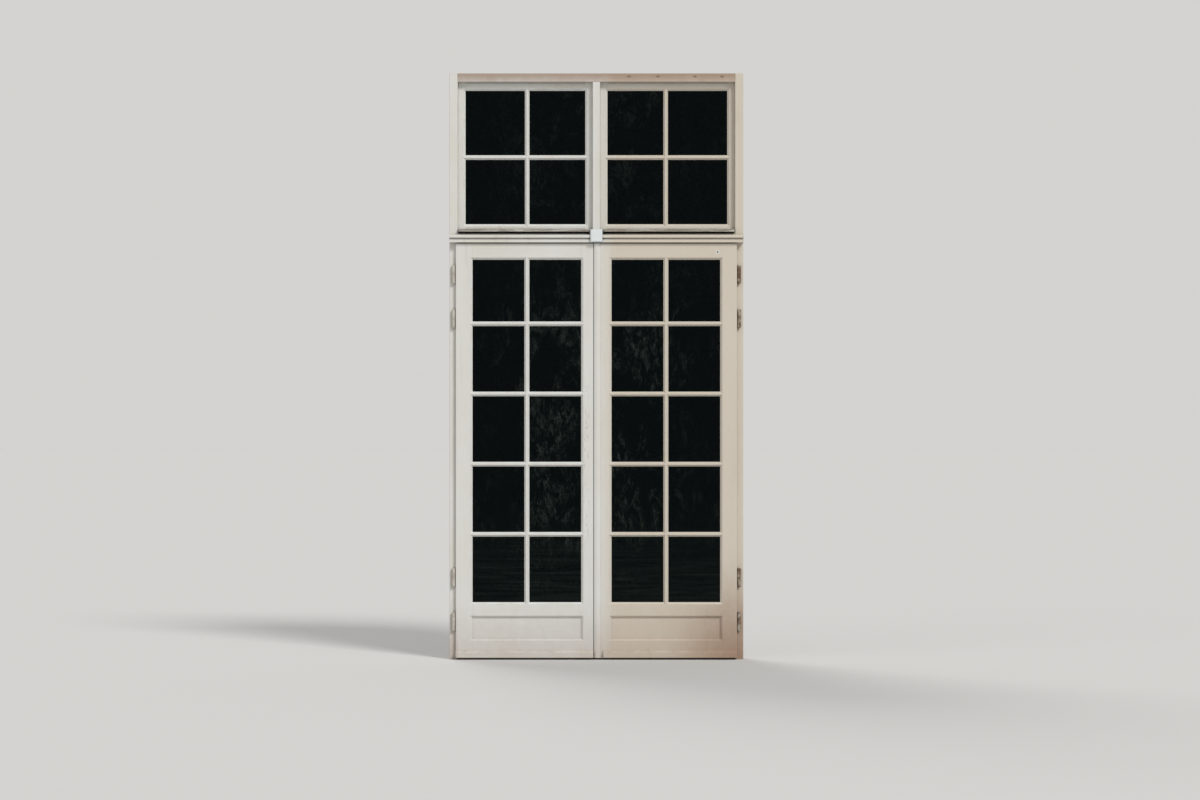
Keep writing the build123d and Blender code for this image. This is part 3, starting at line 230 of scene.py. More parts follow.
class Finish:
    """A material, and short names for its nodes. Its colours are laid one over another."""

    colour = None

    def __init__(self, name):
        self.material = bpy.data.materials.new(name)
        self.material.use_nodes = True
        self.tree = self.material.node_tree
        self.shader = self.tree.nodes["Principled BSDF"]
        coordinates = self.add("ShaderNodeTexCoord")
        self.place = coordinates.outputs["Object"]
        self.facing = coordinates.outputs["Normal"]
        self.normal = self.add("ShaderNodeNewGeometry").outputs["Normal"]

    def feed(self, node, inputs):
        """Link a node's inputs to the outputs of others, or give them plain values."""
        for name, value in inputs.items():
            if isinstance(value, bpy.types.NodeSocket):
                self.tree.links.new(value, node.inputs[name])
            else:
                node.inputs[name].default_value = value

    def add(self, kind, inputs=None, **settings):
        """New node, with its settings and inputs."""
        node = self.tree.nodes.new(kind)
        for name, value in settings.items():
            setattr(node, name, value)
        self.feed(node, inputs or {})
        return node

    def maths(self, operation, *values, clamp=False):
        """Arithmetic on numbers or sockets."""
        inputs = dict(enumerate(values))
        return self.add("ShaderNodeMath", inputs, operation=operation, use_clamp=clamp).outputs[0]

    def times(self, product, *factors):
        """Product of numbers or sockets."""
        for factor in factors:
            product = self.maths("MULTIPLY", product, factor)
        return product

    def inverse(self, value):
        """1 less the value."""
        return self.maths("SUBTRACT", 1.0, value)

    def away(self, value, place):
        """Distance of a value from a place, to either side."""
        return self.maths("ABSOLUTE", self.maths("SUBTRACT", value, place))

    def part(self, vector, axis):
        """One component of a vector: X, Y or Z."""
        return self.add("ShaderNodeSeparateXYZ", {0: vector}).outputs[axis]

    def from_middle(self):
        """Distance from the middle of the door, to either side."""
        return self.maths("ABSOLUTE", self.part(self.place, X))

    def fade(self, value, low, high, start=0.0, end=1.0):
        """Smooth step from start, at low, to end, at high."""
        inputs = {"Value": value, "From Min": low, "From Max": high, "To Min": start, "To Max": end}
        return self.add("ShaderNodeMapRange", inputs, interpolation_type="SMOOTHSTEP").outputs[0]

    def scaled(self, scale):
        """Place on the object with its three directions scaled."""
        inputs = {0: self.place, 1: scale}
        return self.add("ShaderNodeVectorMath", inputs, operation="MULTIPLY").outputs[0]

    def from_point(self, point, scale=(1, 1, 1)):
        """Distance from a point, with the three directions scaled."""
        inputs = {0: self.scaled(scale), 1: [along * factor for along, factor in zip(point, scale)]}
        return self.add("ShaderNodeVectorMath", inputs, operation="DISTANCE").outputs["Value"]

    def noise(self, scale, detail=3.0, rough=0.5, twist=0.0):
        """Cloudy noise with so many features to a metre in each direction, or to a unit of a vector."""
        vector = scale if isinstance(scale, bpy.types.NodeSocket) else self.scaled(scale)
        inputs = {"Scale": 1.0, "Detail": detail, "Roughness": rough, "Distortion": twist}
        return self.add("ShaderNodeTexNoise", {"Vector": vector, **inputs}).outputs["Fac"]

    def blend(self, share, first, second):
        """Mix of two colours."""
        inputs = {0: share, 6: first, 7: second}
        return self.add("ShaderNodeMix", inputs, data_type="RGBA").outputs[2]

    def blend_vectors(self, share, first, second):
        """Mix of two vectors."""
        inputs = {0: share, 4: first, 5: second}
        return self.add("ShaderNodeMix", inputs, data_type="VECTOR").outputs[1]

    def corners(self, reach):
        """1 deep in a corner, 0 in the open."""
        sampled = self.add("ShaderNodeAmbientOcclusion", {"Distance": reach}, samples=6)
        return self.inverse(sampled.outputs["AO"])

    def rounded(self, radius):
        """Surface direction with the sharp edges eased."""
        return self.add("ShaderNodeBevel", {"Radius": radius}, samples=4).outputs[0]

    def edges(self, eased):
        """Above 0 along sharp edges, where the eased direction leaves the true one."""
        inputs = {0: eased, 1: self.normal}
        dot = self.add("ShaderNodeVectorMath", inputs, operation="DOT_PRODUCT")
        return self.inverse(dot.outputs["Value"])

    def outdoors(self):
        """1 on the faces that look outdoors, and less on those that look into the room."""
        return self.fade(self.part(self.facing, Y), 0.4, -0.4, 0.3, 1.0)

    def lay(self, share, colour, strength=1.0):
        """Cover the colour so far with a share of another."""
        self.colour = self.blend(share, self.colour, linear(colour, strength))

    def paint_right_shade(self, paint, right_shade_share=1.0):
        """Lay on the right-hand side's painted shade, a warmer and darker tint, which begins at the
        seam.
        """
        side = self.fade(self.part(self.place, X), *SHADED_SIDE, 0.0, paint.right_side_shade * right_shade_share)
        self.lay(self.times(side, self.outdoors()), paint.shaded_warm_white)

    def bump(self, height, depth, below=None):
        """Relief of the given depth, on top of another relief where one is given."""
        inputs = {"Distance": depth, "Height": height}
        if below:
            inputs["Normal"] = below
        return self.add("ShaderNodeBump", inputs).outputs[0]

    def surface(self, roughness, relief):
        """The material, once its shader is fed."""
        self.feed(self.shader, {"Base Color": self.colour, "Roughness": roughness, "Normal": relief})
        return self.material


def dress(finishes):
    """Give CAD nodes their finishes: each material with the names of its nodes."""
    for material, names in finishes.items():
        for name in names:
            for slot in NODES[name].material_slots:
                slot.material = material


def both(*names):
    """Names of the left and right nodes of pieces."""
    return [f"{side}_{name}" for name in names for side in ("left", "right")]


class OilPaint(Finish):
    """Old white oil paint. Its age runs from 0, fresh, to 1, long left to the weather."""

    fresh_share = 0.25
    unevenness = 0.0005
    crack_half_width = 0.0009
    crack_depth = 0.0004
    corner_reach = 0.012
    joint_reach = 0.03

    def __init__(self, name, settings, grain, age):
        super().__init__(name)
        self.settings = settings
        self.age = age
        self.strokes = self.noise(self.grain_vector(grain), detail=4, rough=0.6)
        self.cloud = self.noise((2.6, 2.6, 1.9), detail=5, rough=0.6)
        self.blotches = self.noise((17, 17, 12), detail=6, rough=0.65)
        self.specks = self.noise((300, 300, 300), detail=2)
        self.side = self.part(self.place, X)
        self.height = self.part(self.place, Z)
        self.upward = self.part(self.facing, Z)
        self.outside = self.outdoors()

    def grain_vector(self, grain):
        """Place scaled so that noise makes brush strokes along the grain."""
        across = 1 / self.settings.stroke_width
        along = 1 / self.settings.stroke_length
        upright = self.scaled((across, across, along))
        if grain == "upright":
            return upright
        level = self.scaled((along, across, across))
        if grain == "level":
            return level
        on_bar = self.maths("LESS_THAN", self.away(self.from_middle(), UPRIGHT_BAR), UPRIGHT_BAR_REACH)
        return self.blend_vectors(on_bar, level, upright)

    def ragged(self, amount):
        """Height, made uneven by the blotches."""
        return self.maths("SUBTRACT", self.height, self.times(self.blotches, amount))

    def mix(self, white, right_shade_share):
        """White, yellowed in clouds and along the brush strokes, with the right-hand side's painted
        shade laid on, warmer and darker.

        Paint with a white of its own is fresher, and takes only a share of both.
        """
        aged = self.fade(self.cloud, 0.34, 0.7, 0.02 + 0.25 * self.age, min(1.0, 0.2 + self.age))
        if white:
            right_shade_share = self.fresh_share
            aged = self.times(aged, self.fresh_share)
        clean = linear(white or self.settings.white)
        self.colour = self.blend(aged, clean, linear(self.settings.aged_white))
        # Painted shade: the right-hand side's tint.
        self.paint_right_shade(self.settings, right_shade_share)
        self.lay(self.fade(self.strokes, 0.3, 0.75, 0.0, 0.14), self.settings.aged_white, 0.84)

    def weather(self):
        """Faint drips, corners darkened by dirt and by painted shade, and dust on what looks up."""
        drips = self.fade(self.noise((34, 34, 1.6)), 0.56, 0.78)
        drip_share = self.times(drips, self.fade(self.cloud, 0.42, 0.62), 0.08 + 0.16 * self.age)
        self.lay(drip_share, self.settings.grime_and_shade, 1.5)
        # Painted shade and dirt: occlusion darkens the corners.
        corners = self.corners(self.corner_reach)
        deep = self.maths("SUBTRACT", corners, self.times(self.blotches, 0.5), clamp=True)
        self.corner_grime_and_shade = self.maths("MULTIPLY", deep, 0.8 + 0.5 * self.age, clamp=True)
        self.lay(self.corner_grime_and_shade, self.settings.grime_and_shade)
        dusty = self.fade(self.blotches, 0.36, 0.7, 0.0, 0.1 + 0.35 * self.age)
        self.lay(self.times(self.fade(self.upward, 0.35, 0.95), dusty), self.settings.grime_and_shade, 1.3)

    def splash(self):
        """Brown stain near the ground, higher and stronger towards the right-hand foot."""
        heights = (self.settings.splash_height, self.settings.stain_height)
        reach = self.fade(self.side, *RISING_STAIN, *heights)
        rising = self.fade(self.ragged(0.2), reach, STAIN_FULL_HEIGHT)
        right_end = self.fade(self.side, *RIGHT_FOOT, 0.28, 0.85)
        left_end = self.fade(self.side, *LEFT_FOOT, 0.0, 0.5)
        ends = self.maths("MAXIMUM", right_end, left_end)
        self.lay(self.times(rising, ends, self.outside), self.settings.splash)

    def brown_and_shade_head(self):
        """Browner towards the top of the head, partly dirt and partly painted shade as under a lintel,
        with a row of small rust marks.
        """
        brown_and_shade = self.fade(self.ragged(0.04), *HEAD_BROWN_AND_SHADE, 0.0, 0.75)
        self.lay(self.times(brown_and_shade, self.outside), self.settings.splash)
        marks = 0.0
        for place in HEAD_MARKS:
            mark = self.fade(self.from_point(place, HEAD_MARK_SCALE), HEAD_MARK_RADIUS, 0.0)
            marks = self.maths("MAXIMUM", marks, mark)
        self.lay(self.times(marks, self.fade(self.specks, 0.3, 0.6, 0.4, 0.9)), self.settings.rust_mark)

    def shade_joints(self):
        """Painted shade: the deep joints painted nearly black."""
        joint = self.fade(self.corners(self.joint_reach), 0.38, 0.64, 0.0, 0.97)
        self.lay(self.times(joint, self.fade(self.upward, -0.4, 0.3, 0.8, 1.0)), self.settings.joint_shade)

    def scuff(self, front):
        """Grey, rubbed paint in front of a place along Y."""
        in_front = self.fade(self.part(self.place, Y), front, front - SCUFF_FADE)
        scuffs = self.noise((11, 60, 90), detail=7, rough=0.7)
        self.lay(self.times(in_front, self.fade(scuffs, 0.34, 0.6, 0.25, 0.9)), self.settings.weathered)

    def touch_up(self, place):
        """Fresher paint round a nail."""
        self.lay(self.fade(self.from_point(place), *TOUCHED_UP, 0.0, 0.45), self.settings.block_white)

    def mark_by_hands(self, line):
        """Marks that hands leave along an upright line, at the height of the lock."""
        marks = self.fade(self.noise((130, 130, 26), detail=5, rough=0.6), 0.54, 0.68)
        near_line = self.fade(self.away(self.side, line), *HANDS_ASIDE)
        near_lock = self.fade(self.away(self.height, LOCK_HEIGHT), *HANDS_UPWARD)
        share = self.times(near_line, near_lock, self.times(marks, 0.5), self.outside)
        self.lay(share, self.settings.grime_and_shade, 1.3)

    def joint_cracks(self, joints):
        """Thin broken lines where the paint has cracked over the joints."""
        from_middle = self.from_middle()
        lines = 0.0
        for place in joints:
            line = self.fade(self.away(from_middle, place), self.crack_half_width, 0.0)
            lines = self.maths("MAXIMUM", lines, line)
        return self.times(lines, self.fade(self.noise((30, 30, 90), detail=2), 0.42, 0.6))

    def dried(self, joints):
        """The material, with its edges worn to the wood, its relief and its gloss."""
        eased = self.rounded(self.settings.rub_depth)
        patchy = self.fade(self.blotches, 0.5, 0.64, 0.0, 1.6 + 3 * self.age)
        worn = self.fade(self.times(self.edges(eased), patchy), 0.1, 0.45, 0.0, 0.6)
        self.lay(worn, self.settings.bare_wood)
        relief = self.bump(self.strokes, self.settings.stroke_depth, eased)
        relief = self.bump(self.blotches, self.unevenness, relief)
        if joints:
            cracks = self.joint_cracks(joints)
            self.lay(self.times(cracks, 0.35), self.settings.grime_and_shade)
            relief = self.bump(self.inverse(cracks), self.crack_depth, relief)
        roughness = self.fade(self.blotches, 0.3, 0.7, 0.34, 0.5)
        roughness = self.maths("MAXIMUM", roughness, self.times(self.corner_grime_and_shade, 0.8))
        self.feed(self.shader, {"Specular IOR Level": 0.4})
        return self.surface(roughness, relief)


def paint_finish(name, settings, grain="upright", age=0.3, white=None, joints=(), scuffed_from=None,
                 touched_up=None, handled=None, shaded_joints=False, right_shade_share=1.0, browned_and_shaded=False):
    """Old oil paint of one part of the door.

    Joints are the places where the paint has cracked, as distances from the middle of the door. In
    front of scuffed_from, a place along Y, the paint is rubbed grey. Touched_up is the place of a nail
    that was painted over, and handled the place along X of the marks that hands leave. Where sooty is
    set, the deep joints are painted nearly black as painted shade. The part takes the share warmth of
    the right-hand side's painted shade, a warmer and darker tint, and browned is for the head, painted
    browner towards its top by dirt and by painted shade.
    """
    paint = OilPaint(name, settings, grain, age)
    paint.mix(white, right_shade_share)
    paint.weather()
    paint.splash()
    if browned_and_shaded:
        paint.brown_and_shade_head()
    paint.lay(paint.fade(paint.specks, 0.72, 0.77, 0.0, 0.4), settings.grime_and_shade)
    if shaded_joints:
        paint.shade_joints()
    if scuffed_from is not None:
        paint.scuff(scuffed_from)
    if touched_up is not None:
        paint.touch_up(touched_up)
    if handled is not None:
        paint.mark_by_hands(handled)
    return paint.dried(joints)


def putty_finish(settings):
    """Painted putty: hand-drawn ripples, a few hairline cracks and a dark line at the glass, partly dirt
    and partly painted shade.
    """
    finish = Finish("Painted putty")
    ripples = finish.noise((22, 22, 22), rough=0.55)
    crumbs = finish.noise((260, 260, 260), detail=4, rough=0.7)
    crazed = finish.noise((48, 48, 48), twist=1.4)
    hairline = finish.fade(finish.away(crazed, 0.5), 0.006, 0.0)
    cracks = finish.times(hairline, finish.fade(ripples, 0.53, 0.66, 0.0, 0.5))
    aged = finish.fade(ripples, 0.35, 0.7, 0.0, 0.35)
    finish.colour = finish.blend(aged, linear(settings.white), linear(settings.aged_white))
    # Painted shade: the right-hand side's tint, on the putty too.
    finish.paint_right_shade(settings)
    # Dirt and painted shade: occlusion darkens the putty at the glass.
    deep = finish.times(finish.corners(reach=0.007), finish.fade(crumbs, 0.3, 0.7, 0.6, 1.0))
    finish.lay(finish.fade(deep, 0.3, 0.8, 0.0, 0.7), settings.grime_and_shade, 1.2)
    finish.lay(cracks, settings.grime_and_shade)
    relief = finish.bump(ripples, depth=0.0012, below=finish.rounded(settings.rub_depth))
    relief = finish.bump(crumbs, depth=0.00015, below=relief)
    relief = finish.bump(finish.inverse(cracks), depth=0.0002, below=relief)
    return finish.surface(finish.fade(crumbs, 0.3, 0.7, 0.42, 0.62), relief)


def threshold_finish(settings):
    """Painted hardwood sill, worn to grey wood where feet cross it."""
    finish = Finish("Worn threshold")
    fibres = finish.noise((5, 240, 240), detail=6, rough=0.7)
    wear = finish.noise((7, 30, 30), detail=5, rough=0.6, twist=0.3)
    top = finish.fade(finish.part(finish.facing, Z), 0.2, 0.8)
    walked = finish.fade(finish.from_middle(), *WALKED, 0.15, 0.55)
    bare = finish.times(top, finish.fade(finish.maths("ADD", wear, walked), 0.55, 0.85))
    wood = finish.blend(fibres, linear(settings.bare_wood, 0.6), linear(settings.bare_wood, 1.5))
    painted = finish.blend(wear, linear(settings.aged_white, 0.85), linear(settings.aged_white, 0.6))
    finish.colour = finish.blend(bare, painted, wood)
    # Dirt and painted shade: occlusion darkens the corners.
    finish.lay(finish.times(finish.corners(reach=0.02), 0.8), settings.grime_and_shade, 0.7)
    relief = finish.bump(fibres, depth=0.0005)
    return finish.surface(finish.fade(wear, 0.3, 0.7, 0.5, 0.8), relief)


def glass_finish(settings):
    """Drawn sheet glass, slightly wavy, with a faint dusty film; its dark colour is painted shade of an
    unlit room behind it.

    Mottled patches near the seam are a painted reflection, and near the ground the dust runs in level
    streaks.
    """
    finish = Finish("Drawn glass")
    wave = 1 / settings.wave_length
    waves = finish.noise((wave, wave, wave * 0.35), detail=1, rough=0.4)
    runs = finish.noise((38, 38, 17), detail=6, rough=0.62, twist=1.0)
    smears = finish.noise((6, 6, 3.5), detail=5, rough=0.6, twist=1.2)
    streaks = finish.noise((2.5, 2.5, 70), detail=4, rough=0.65, twist=0.4)
    grains = finish.noise((150, 150, 110), detail=4, rough=0.7)

    height = finish.part(finish.place, Z)
    near_seam = finish.fade(finish.from_middle(), *REFLECTION_BY_SEAM, 1.2, 0.25)
    below_top_row = finish.fade(height, *TOP_ROW, 1.0, 0.35)
    above_low_row = finish.fade(height, *LOW_ROW, 1.0, 0.2)
    # Painted reflection: mottled patches near the seam, weaker in the top and lowest rows.
    painted_reflection = finish.times(
        finish.fade(runs, 0.44, 0.64), finish.fade(smears, 0.46, 0.6),
        finish.fade(grains, 0.4, 0.62, 0.15, 1.0), near_seam, below_top_row, above_low_row, 0.8,
    )
    near_ground = finish.fade(height, *LOW_STREAKS)
    low_veil = finish.times(near_ground, finish.fade(streaks, 0.35, 0.75, 0.02, 0.22))
    edge_dust = finish.times(finish.corners(reach=0.02), finish.fade(grains, 0.35, 0.7, 0.0, 0.2))
    dust_and_reflection = finish.maths("ADD", finish.maths("ADD", painted_reflection, low_veil), edge_dust, clamp=True)
    # Painted shade and painted reflection: near-black glass for the unlit room behind, lightened by the
    # mottled reflection and by dust.
    finish.colour = finish.blend(dust_and_reflection, linear(settings.deep), linear(settings.dust_and_reflection))
    hazy = finish.maths("ADD", smears, finish.times(dust_and_reflection, 0.4))
    gloss = linear(settings.gloss)
    finish.feed(finish.shader, {"Transmission Weight": 1.0, "IOR": 1.5, "Specular Tint": gloss})
    relief = finish.bump(waves, settings.wave_depth)
    return finish.surface(finish.fade(hazy, 0.4, 1.0, 0.02, 0.14), relief)


def painted_iron_finish(name, paint, iron, rusting):
    """Thick paint over iron, chipped to rust along the edges, and darker and browner on the right-hand
    side, partly rust and partly painted shade.
    """
    finish = Finish(name)
    lumps = finish.noise((120, 120, 120), detail=4, rough=0.6)
    patches = finish.noise((38, 38, 30), detail=5, rough=0.65)
    eased = finish.rounded(radius=0.0014)
    chips = finish.times(finish.edges(eased), finish.fade(patches, 0.45, 0.62, 0.4, 3.2))
    chips = finish.fade(chips, 0.15, 0.45)
    # Painted shade and rust: darker and browner towards the right-hand side.
    side = finish.fade(finish.part(finish.place, X), *RUST_AND_SHADE_SIDE, 0.48, 1.3 + 0.8 * rusting)
    dirty = finish.fade(patches, 0.3, 0.62, 0.5 * rusting, 0.1 + 0.8 * rusting)
    stained = finish.fade(patches, 0.38, 0.62, 0.05 * rusting, rusting)
    finish.colour = finish.blend(rusting, linear(paint.white, 0.95), linear(paint.aged_white))
    finish.lay(finish.times(dirty, side), paint.bare_wood, 1.1)
    finish.lay(finish.times(stained, side), iron.rust)
    # Dirt and painted shade: occlusion darkens the corners.
    finish.lay(finish.times(finish.corners(reach=0.01), 0.8), paint.grime_and_shade)
    finish.lay(chips, iron.rust)
    relief = finish.bump(lumps, depth=0.0004, below=eased)
    relief = finish.bump(finish.inverse(chips), depth=0.0002, below=relief)
    return finish.surface(finish.fade(chips, 0.0, 1.0, 0.38, 0.75), relief)


def felt_finish(seam):
    """Dark felt, fibrous and dusty; its dark colour paints the seam's shade."""
    finish = Finish("Felt")
    fibres = finish.noise((900, 900, 300), detail=5, rough=0.7, twist=0.6)
    dust = finish.noise((40, 40, 9), detail=4, rough=0.6)
    finish.colour = finish.blend(finish.fade(dust, 0.35, 0.7), linear(seam.felt), linear(seam.worn_felt))
    finish.lay(finish.times(fibres, 0.3), seam.worn_felt)
    finish.feed(finish.shader, {"Specular IOR Level": 0.15})
    relief = finish.bump(fibres, depth=0.0004)
    return finish.surface(finish.fade(fibres, 0.3, 0.7, 0.85, 1.0), relief)


def metal_finish(name, bright, dull, rubbed, roughness, lines=(30, 30, 700)):
    """Bare metal, brighter on the edges that hands rub and dull elsewhere."""
    finish = Finish(name)
    scratches = finish.noise(lines, rough=0.7)
    clouds = finish.noise((60, 60, 45), detail=5, rough=0.6)
    eased = finish.rounded(radius=0.0008)
    edge = finish.fade(finish.edges(eased), 0.05, 0.35)
    shine = finish.maths("ADD", finish.fade(clouds, 0.35, 0.65, 0.0, rubbed), edge, clamp=True)
    deep = finish.times(finish.corners(reach=0.006), 0.9)
    shine = finish.maths("SUBTRACT", shine, deep, clamp=True)
    finish.colour = finish.blend(shine, linear(dull), linear(bright))
    finish.feed(finish.shader, {"Metallic": 1.0})
    rough = finish.maths("ADD", finish.fade(scratches, 0.3, 0.7, -0.06, 0.1), roughness)
    rough = finish.maths("ADD", rough, finish.fade(shine, 0.0, 1.0, 0.16, 0.0))
    return finish.surface(rough, finish.bump(scratches, depth=0.00004, below=eased))


# Sizes of the ironwork that its screws are set out from
PLATE_THICKNESS = 0.0025
GUIDE_HEIGHT = 0.016
GUIDE_EAR = 0.003
BOLT_PLATE_LENGTH = 0.236
BOLT_PLATE_INSET = 0.004
CASE_RIM = 0.004
CASE_SCREW_INSET = 0.016
KEEPER_END = 0.022
KEEPER_THICKNESS = 0.003
KEEPER_SCREW_REACH = 0.016
FLAG_HINGE_LENGTH = 0.07
FLAG_KNUCKLE_RADIUS = 0.006
FLAG_SCREWS = ((0.0115, 0.026), (0.0205, 0.0085))
ROOMWARD = (0, 1, 0)

# A screw's slot angle in degrees, and how much the next one in a group is turned further
SLOT_ANGLE = 37
NEXT_SLOT_ANGLE = 53

# Shapes in units of the nail's radius and of the draught strip's width and reach
NAIL_PROFILE = ((1.0, -0.3), (1.0, 0.12), (0.86, 0.26), (0.5, 0.36), (0.18, 0.33))
NAIL_DENTS = 3
NAIL_DENT_DEPTH = 0.05
STRIP_PROFILE = ((-0.5, 0), (-0.5, 0.55), (-0.3, 0.9), (0, 1), (0.3, 0.9), (0.5, 0.55), (0.5, 0))
STRIP_RUFFLE_STEP = 2.4

LAMP_DISTANCE = 10


def standing(centre, outward):
    """Placement with Z outward from a surface."""
    return Matrix.Translation(centre) @ outward.to_track_quat("Z", "Y").to_matrix().to_4x4()


def bridge(mesh, rings):
    """Faces from each closed ring of vertices to the next."""
    for lower, upper in zip(rings, rings[1:]):
        for step in range(len(lower)):
            after = (step + 1) % len(lower)
            mesh.faces.new((lower[step], lower[after], upper[after], upper[step]))


def add_screw_head(mesh, centre, outward, radius, turn, segments):
    """Slightly domed countersunk screw head with a straight slot, standing on a surface."""
    slot_half = radius * 0.16
    slot_floor = -radius * 0.22
    rim_height = radius * 0.06
    crown_height = radius * 0.22
    crown_share = 0.62
    place = standing(centre, outward) @ Matrix.Rotation(turn, 4, "Z")

    def vertex(x, y, z):
        return mesh.verts.new(place @ Vector((x, y, z)))

    start = -pi / 2
    for side in (1, -1):
        rim = []
        crown = []
        skirt = []
        for step in range(segments // 2 + 1):
            angle = start + pi * step / (segments // 2)
            x = max(radius * cos(angle), slot_half)
            y = radius * sin(angle)
            inner_x = max(crown_share * radius * cos(angle), slot_half)
            rim.append(vertex(side * x, y, rim_height))
            crown.append(vertex(side * inner_x, crown_share * y, crown_height))
            skirt.append(vertex(side * x, y, slot_floor))
        for outer, inner in ((rim, crown), (skirt, rim)):
            for step in range(len(outer) - 1):
                mesh.faces.new((outer[step], outer[step + 1], inner[step + 1], inner[step]))
        mesh.faces.new(crown)
        mesh.faces.new((skirt[-1], skirt[0], rim[0], rim[-1]))
        mesh.faces.new((rim[-1], rim[0], crown[0], crown[-1]))
    ends = ((-slot_half, -radius), (slot_half, -radius), (slot_half, radius), (-slot_half, radius))
    mesh.faces.new([vertex(x, y, slot_floor) for x, y in ends])


def add_nail_head(mesh, centre, outward, radius, segments):
    """Round, hammered nail head that stands a little proud of a surface."""
    place = standing(centre, outward)
    rings = []
    for number, (out, up) in enumerate(NAIL_PROFILE):
        ring = []
        for step in range(segments):
            angle = 2 * pi * step / segments
            reach = radius * out * (1 + NAIL_DENT_DEPTH * sin(NAIL_DENTS * angle + number))
            point = Vector((reach * cos(angle), reach * sin(angle), radius * up))
            ring.append(mesh.verts.new(place @ point))
        rings.append(ring)
    bridge(mesh, rings)
    mesh.faces.new(rings[-1])
    mesh.faces.new(list(reversed(rings[0])))


def made_of(name, mesh, material):
    """New object made of a mesh, with its finish."""
    data = bpy.data.meshes.new(name)
    mesh.to_mesh(data)
    mesh.free()
    data.materials.append(material)
    made = bpy.data.objects.new(name, data)
    bpy.context.scene.collection.objects.link(made)
    return made


def finished_piece(name, body, mesh, material):
    """Piece made of a mesh, riding on a body."""
    bmesh.ops.recalc_face_normals(mesh, faces=mesh.faces)
    piece = made_of(name, mesh, material)
    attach(piece, body)


def drive(name, body, places, radius, material, outward=ROOMWARD):
    """Drive like screws, as one piece on a body. The slot of each stands at its own angle."""
    segments = bpy.context.scene.door_ironwork.screw_segments
    mesh = bmesh.new()
    for number, place in enumerate(places):
        turn = radians(SLOT_ANGLE + NEXT_SLOT_ANGLE * number)
        add_screw_head(mesh, Vector(place), Vector(outward), radius, turn, segments)
    finished_piece(name, body, mesh, material)


class DoorOperator:
    """What the door's operators share."""

    bl_options = {"REGISTER", "UNDO"}


class DOOR_OT_paint_timber(DoorOperator, Operator):
    """Paint the frame, both leaves and both sashes"""

    bl_idname = "door.paint_timber"
    bl_label = "Paint the Timber"

    def execute(self, context):
        paint = context.scene.door_paint
        stile = paint_finish("White paint stiles", paint, "upright", age=0.12)
        handled_stile = paint_finish("White paint handled stile", paint, "upright", age=0.15,
                                     handled=HAND_LINE)
        jamb = paint_finish("White paint jambs", paint, "upright", age=0.25)
        # Painted shade and dirt: the head is browner towards its top.
        head = paint_finish("White paint head", paint, "level", age=0.25, browned_and_shaded=True)
        # Painted shade: the transom's deep joints and groove are painted nearly black.
        transom = paint_finish("White paint transom", paint, "level", age=0.35, shaded_joints=True)
        panel = paint_finish("White paint panels", paint, "level", age=0.3)
        door_rail = paint_finish("White paint door rails", paint, "level", age=0.25,
                                 joints=(LIGHT_INNER, LIGHT_OUTER))
        nailed_rail = paint_finish("White paint nailed rail", paint, "level", age=0.25,
                                   joints=(LIGHT_INNER, LIGHT_OUTER), touched_up=NAIL_PLACE)
        # Painted shade: the sash rails take half of the right-hand side's tint, and their deep joints
        # are painted nearly black.
        sash_rail = paint_finish("White paint sash rails", paint, "level", age=0.3,
                                 joints=(SASH_INNER, SASH_OUTER), shaded_joints=True, right_shade_share=0.5,
                                 scuffed_from=SASH_FACE - SASH_BOARD_REACH)
        bars = paint_finish("White paint bars", paint, "bars", age=0.2)
        boards = paint_finish("White paint weather boards", paint, "level", age=0.5)
        dress({
            stile: both("hinge_stile", "sash_hinge_stile", "sash_mullion_stile")
            + ["right_meeting_stile", "astragal"],
            handled_stile: ["left_meeting_stile"],
            jamb: both("jamb") + ["mullion"],
            head: ["head"],
            transom: ["transom_bar"],
            panel: both("panel"),
            door_rail: both("bottom_rail", "lock_rail") + ["left_top_rail"],
            nailed_rail: ["right_top_rail"],
            sash_rail: both("sash_top_rail", "sash_bottom_rail"),
            bars: both("glazing_bars", "sash_glazing_bars"),
            boards: both("weather_board"),
        })
        return {"FINISHED"}


class DOOR_OT_paint_block(DoorOperator, Operator):
    """Paint the square block on the transom bar in its fresher, cooler white"""

    bl_idname = "door.paint_block"
    bl_label = "Paint the Transom Block"

    def execute(self, context):
        paint = context.scene.door_paint
        finish = paint_finish("Block paint", paint, "upright", age=0.0, white=paint.block_white)
        dress({finish: ["transom_block"]})
        return {"FINISHED"}


class DOOR_OT_finish_threshold(DoorOperator, Operator):
    """Wear down the paint of the threshold"""

    bl_idname = "door.finish_threshold"
    bl_label = "Finish the Threshold"

    def execute(self, context):
        dress({threshold_finish(context.scene.door_paint): ["threshold"]})
        return {"FINISHED"}


class DOOR_OT_glaze(DoorOperator, Operator):
    """Give the panes their glass and the putty its paint"""

    bl_idname = "door.glaze"
    bl_label = "Glaze"

    def execute(self, context):
        glass = glass_finish(context.scene.door_glass)
        putty = putty_finish(context.scene.door_paint)
        dress({glass: both("panes", "sash_panes"), putty: both("putty", "sash_putty")})
        return {"FINISHED"}


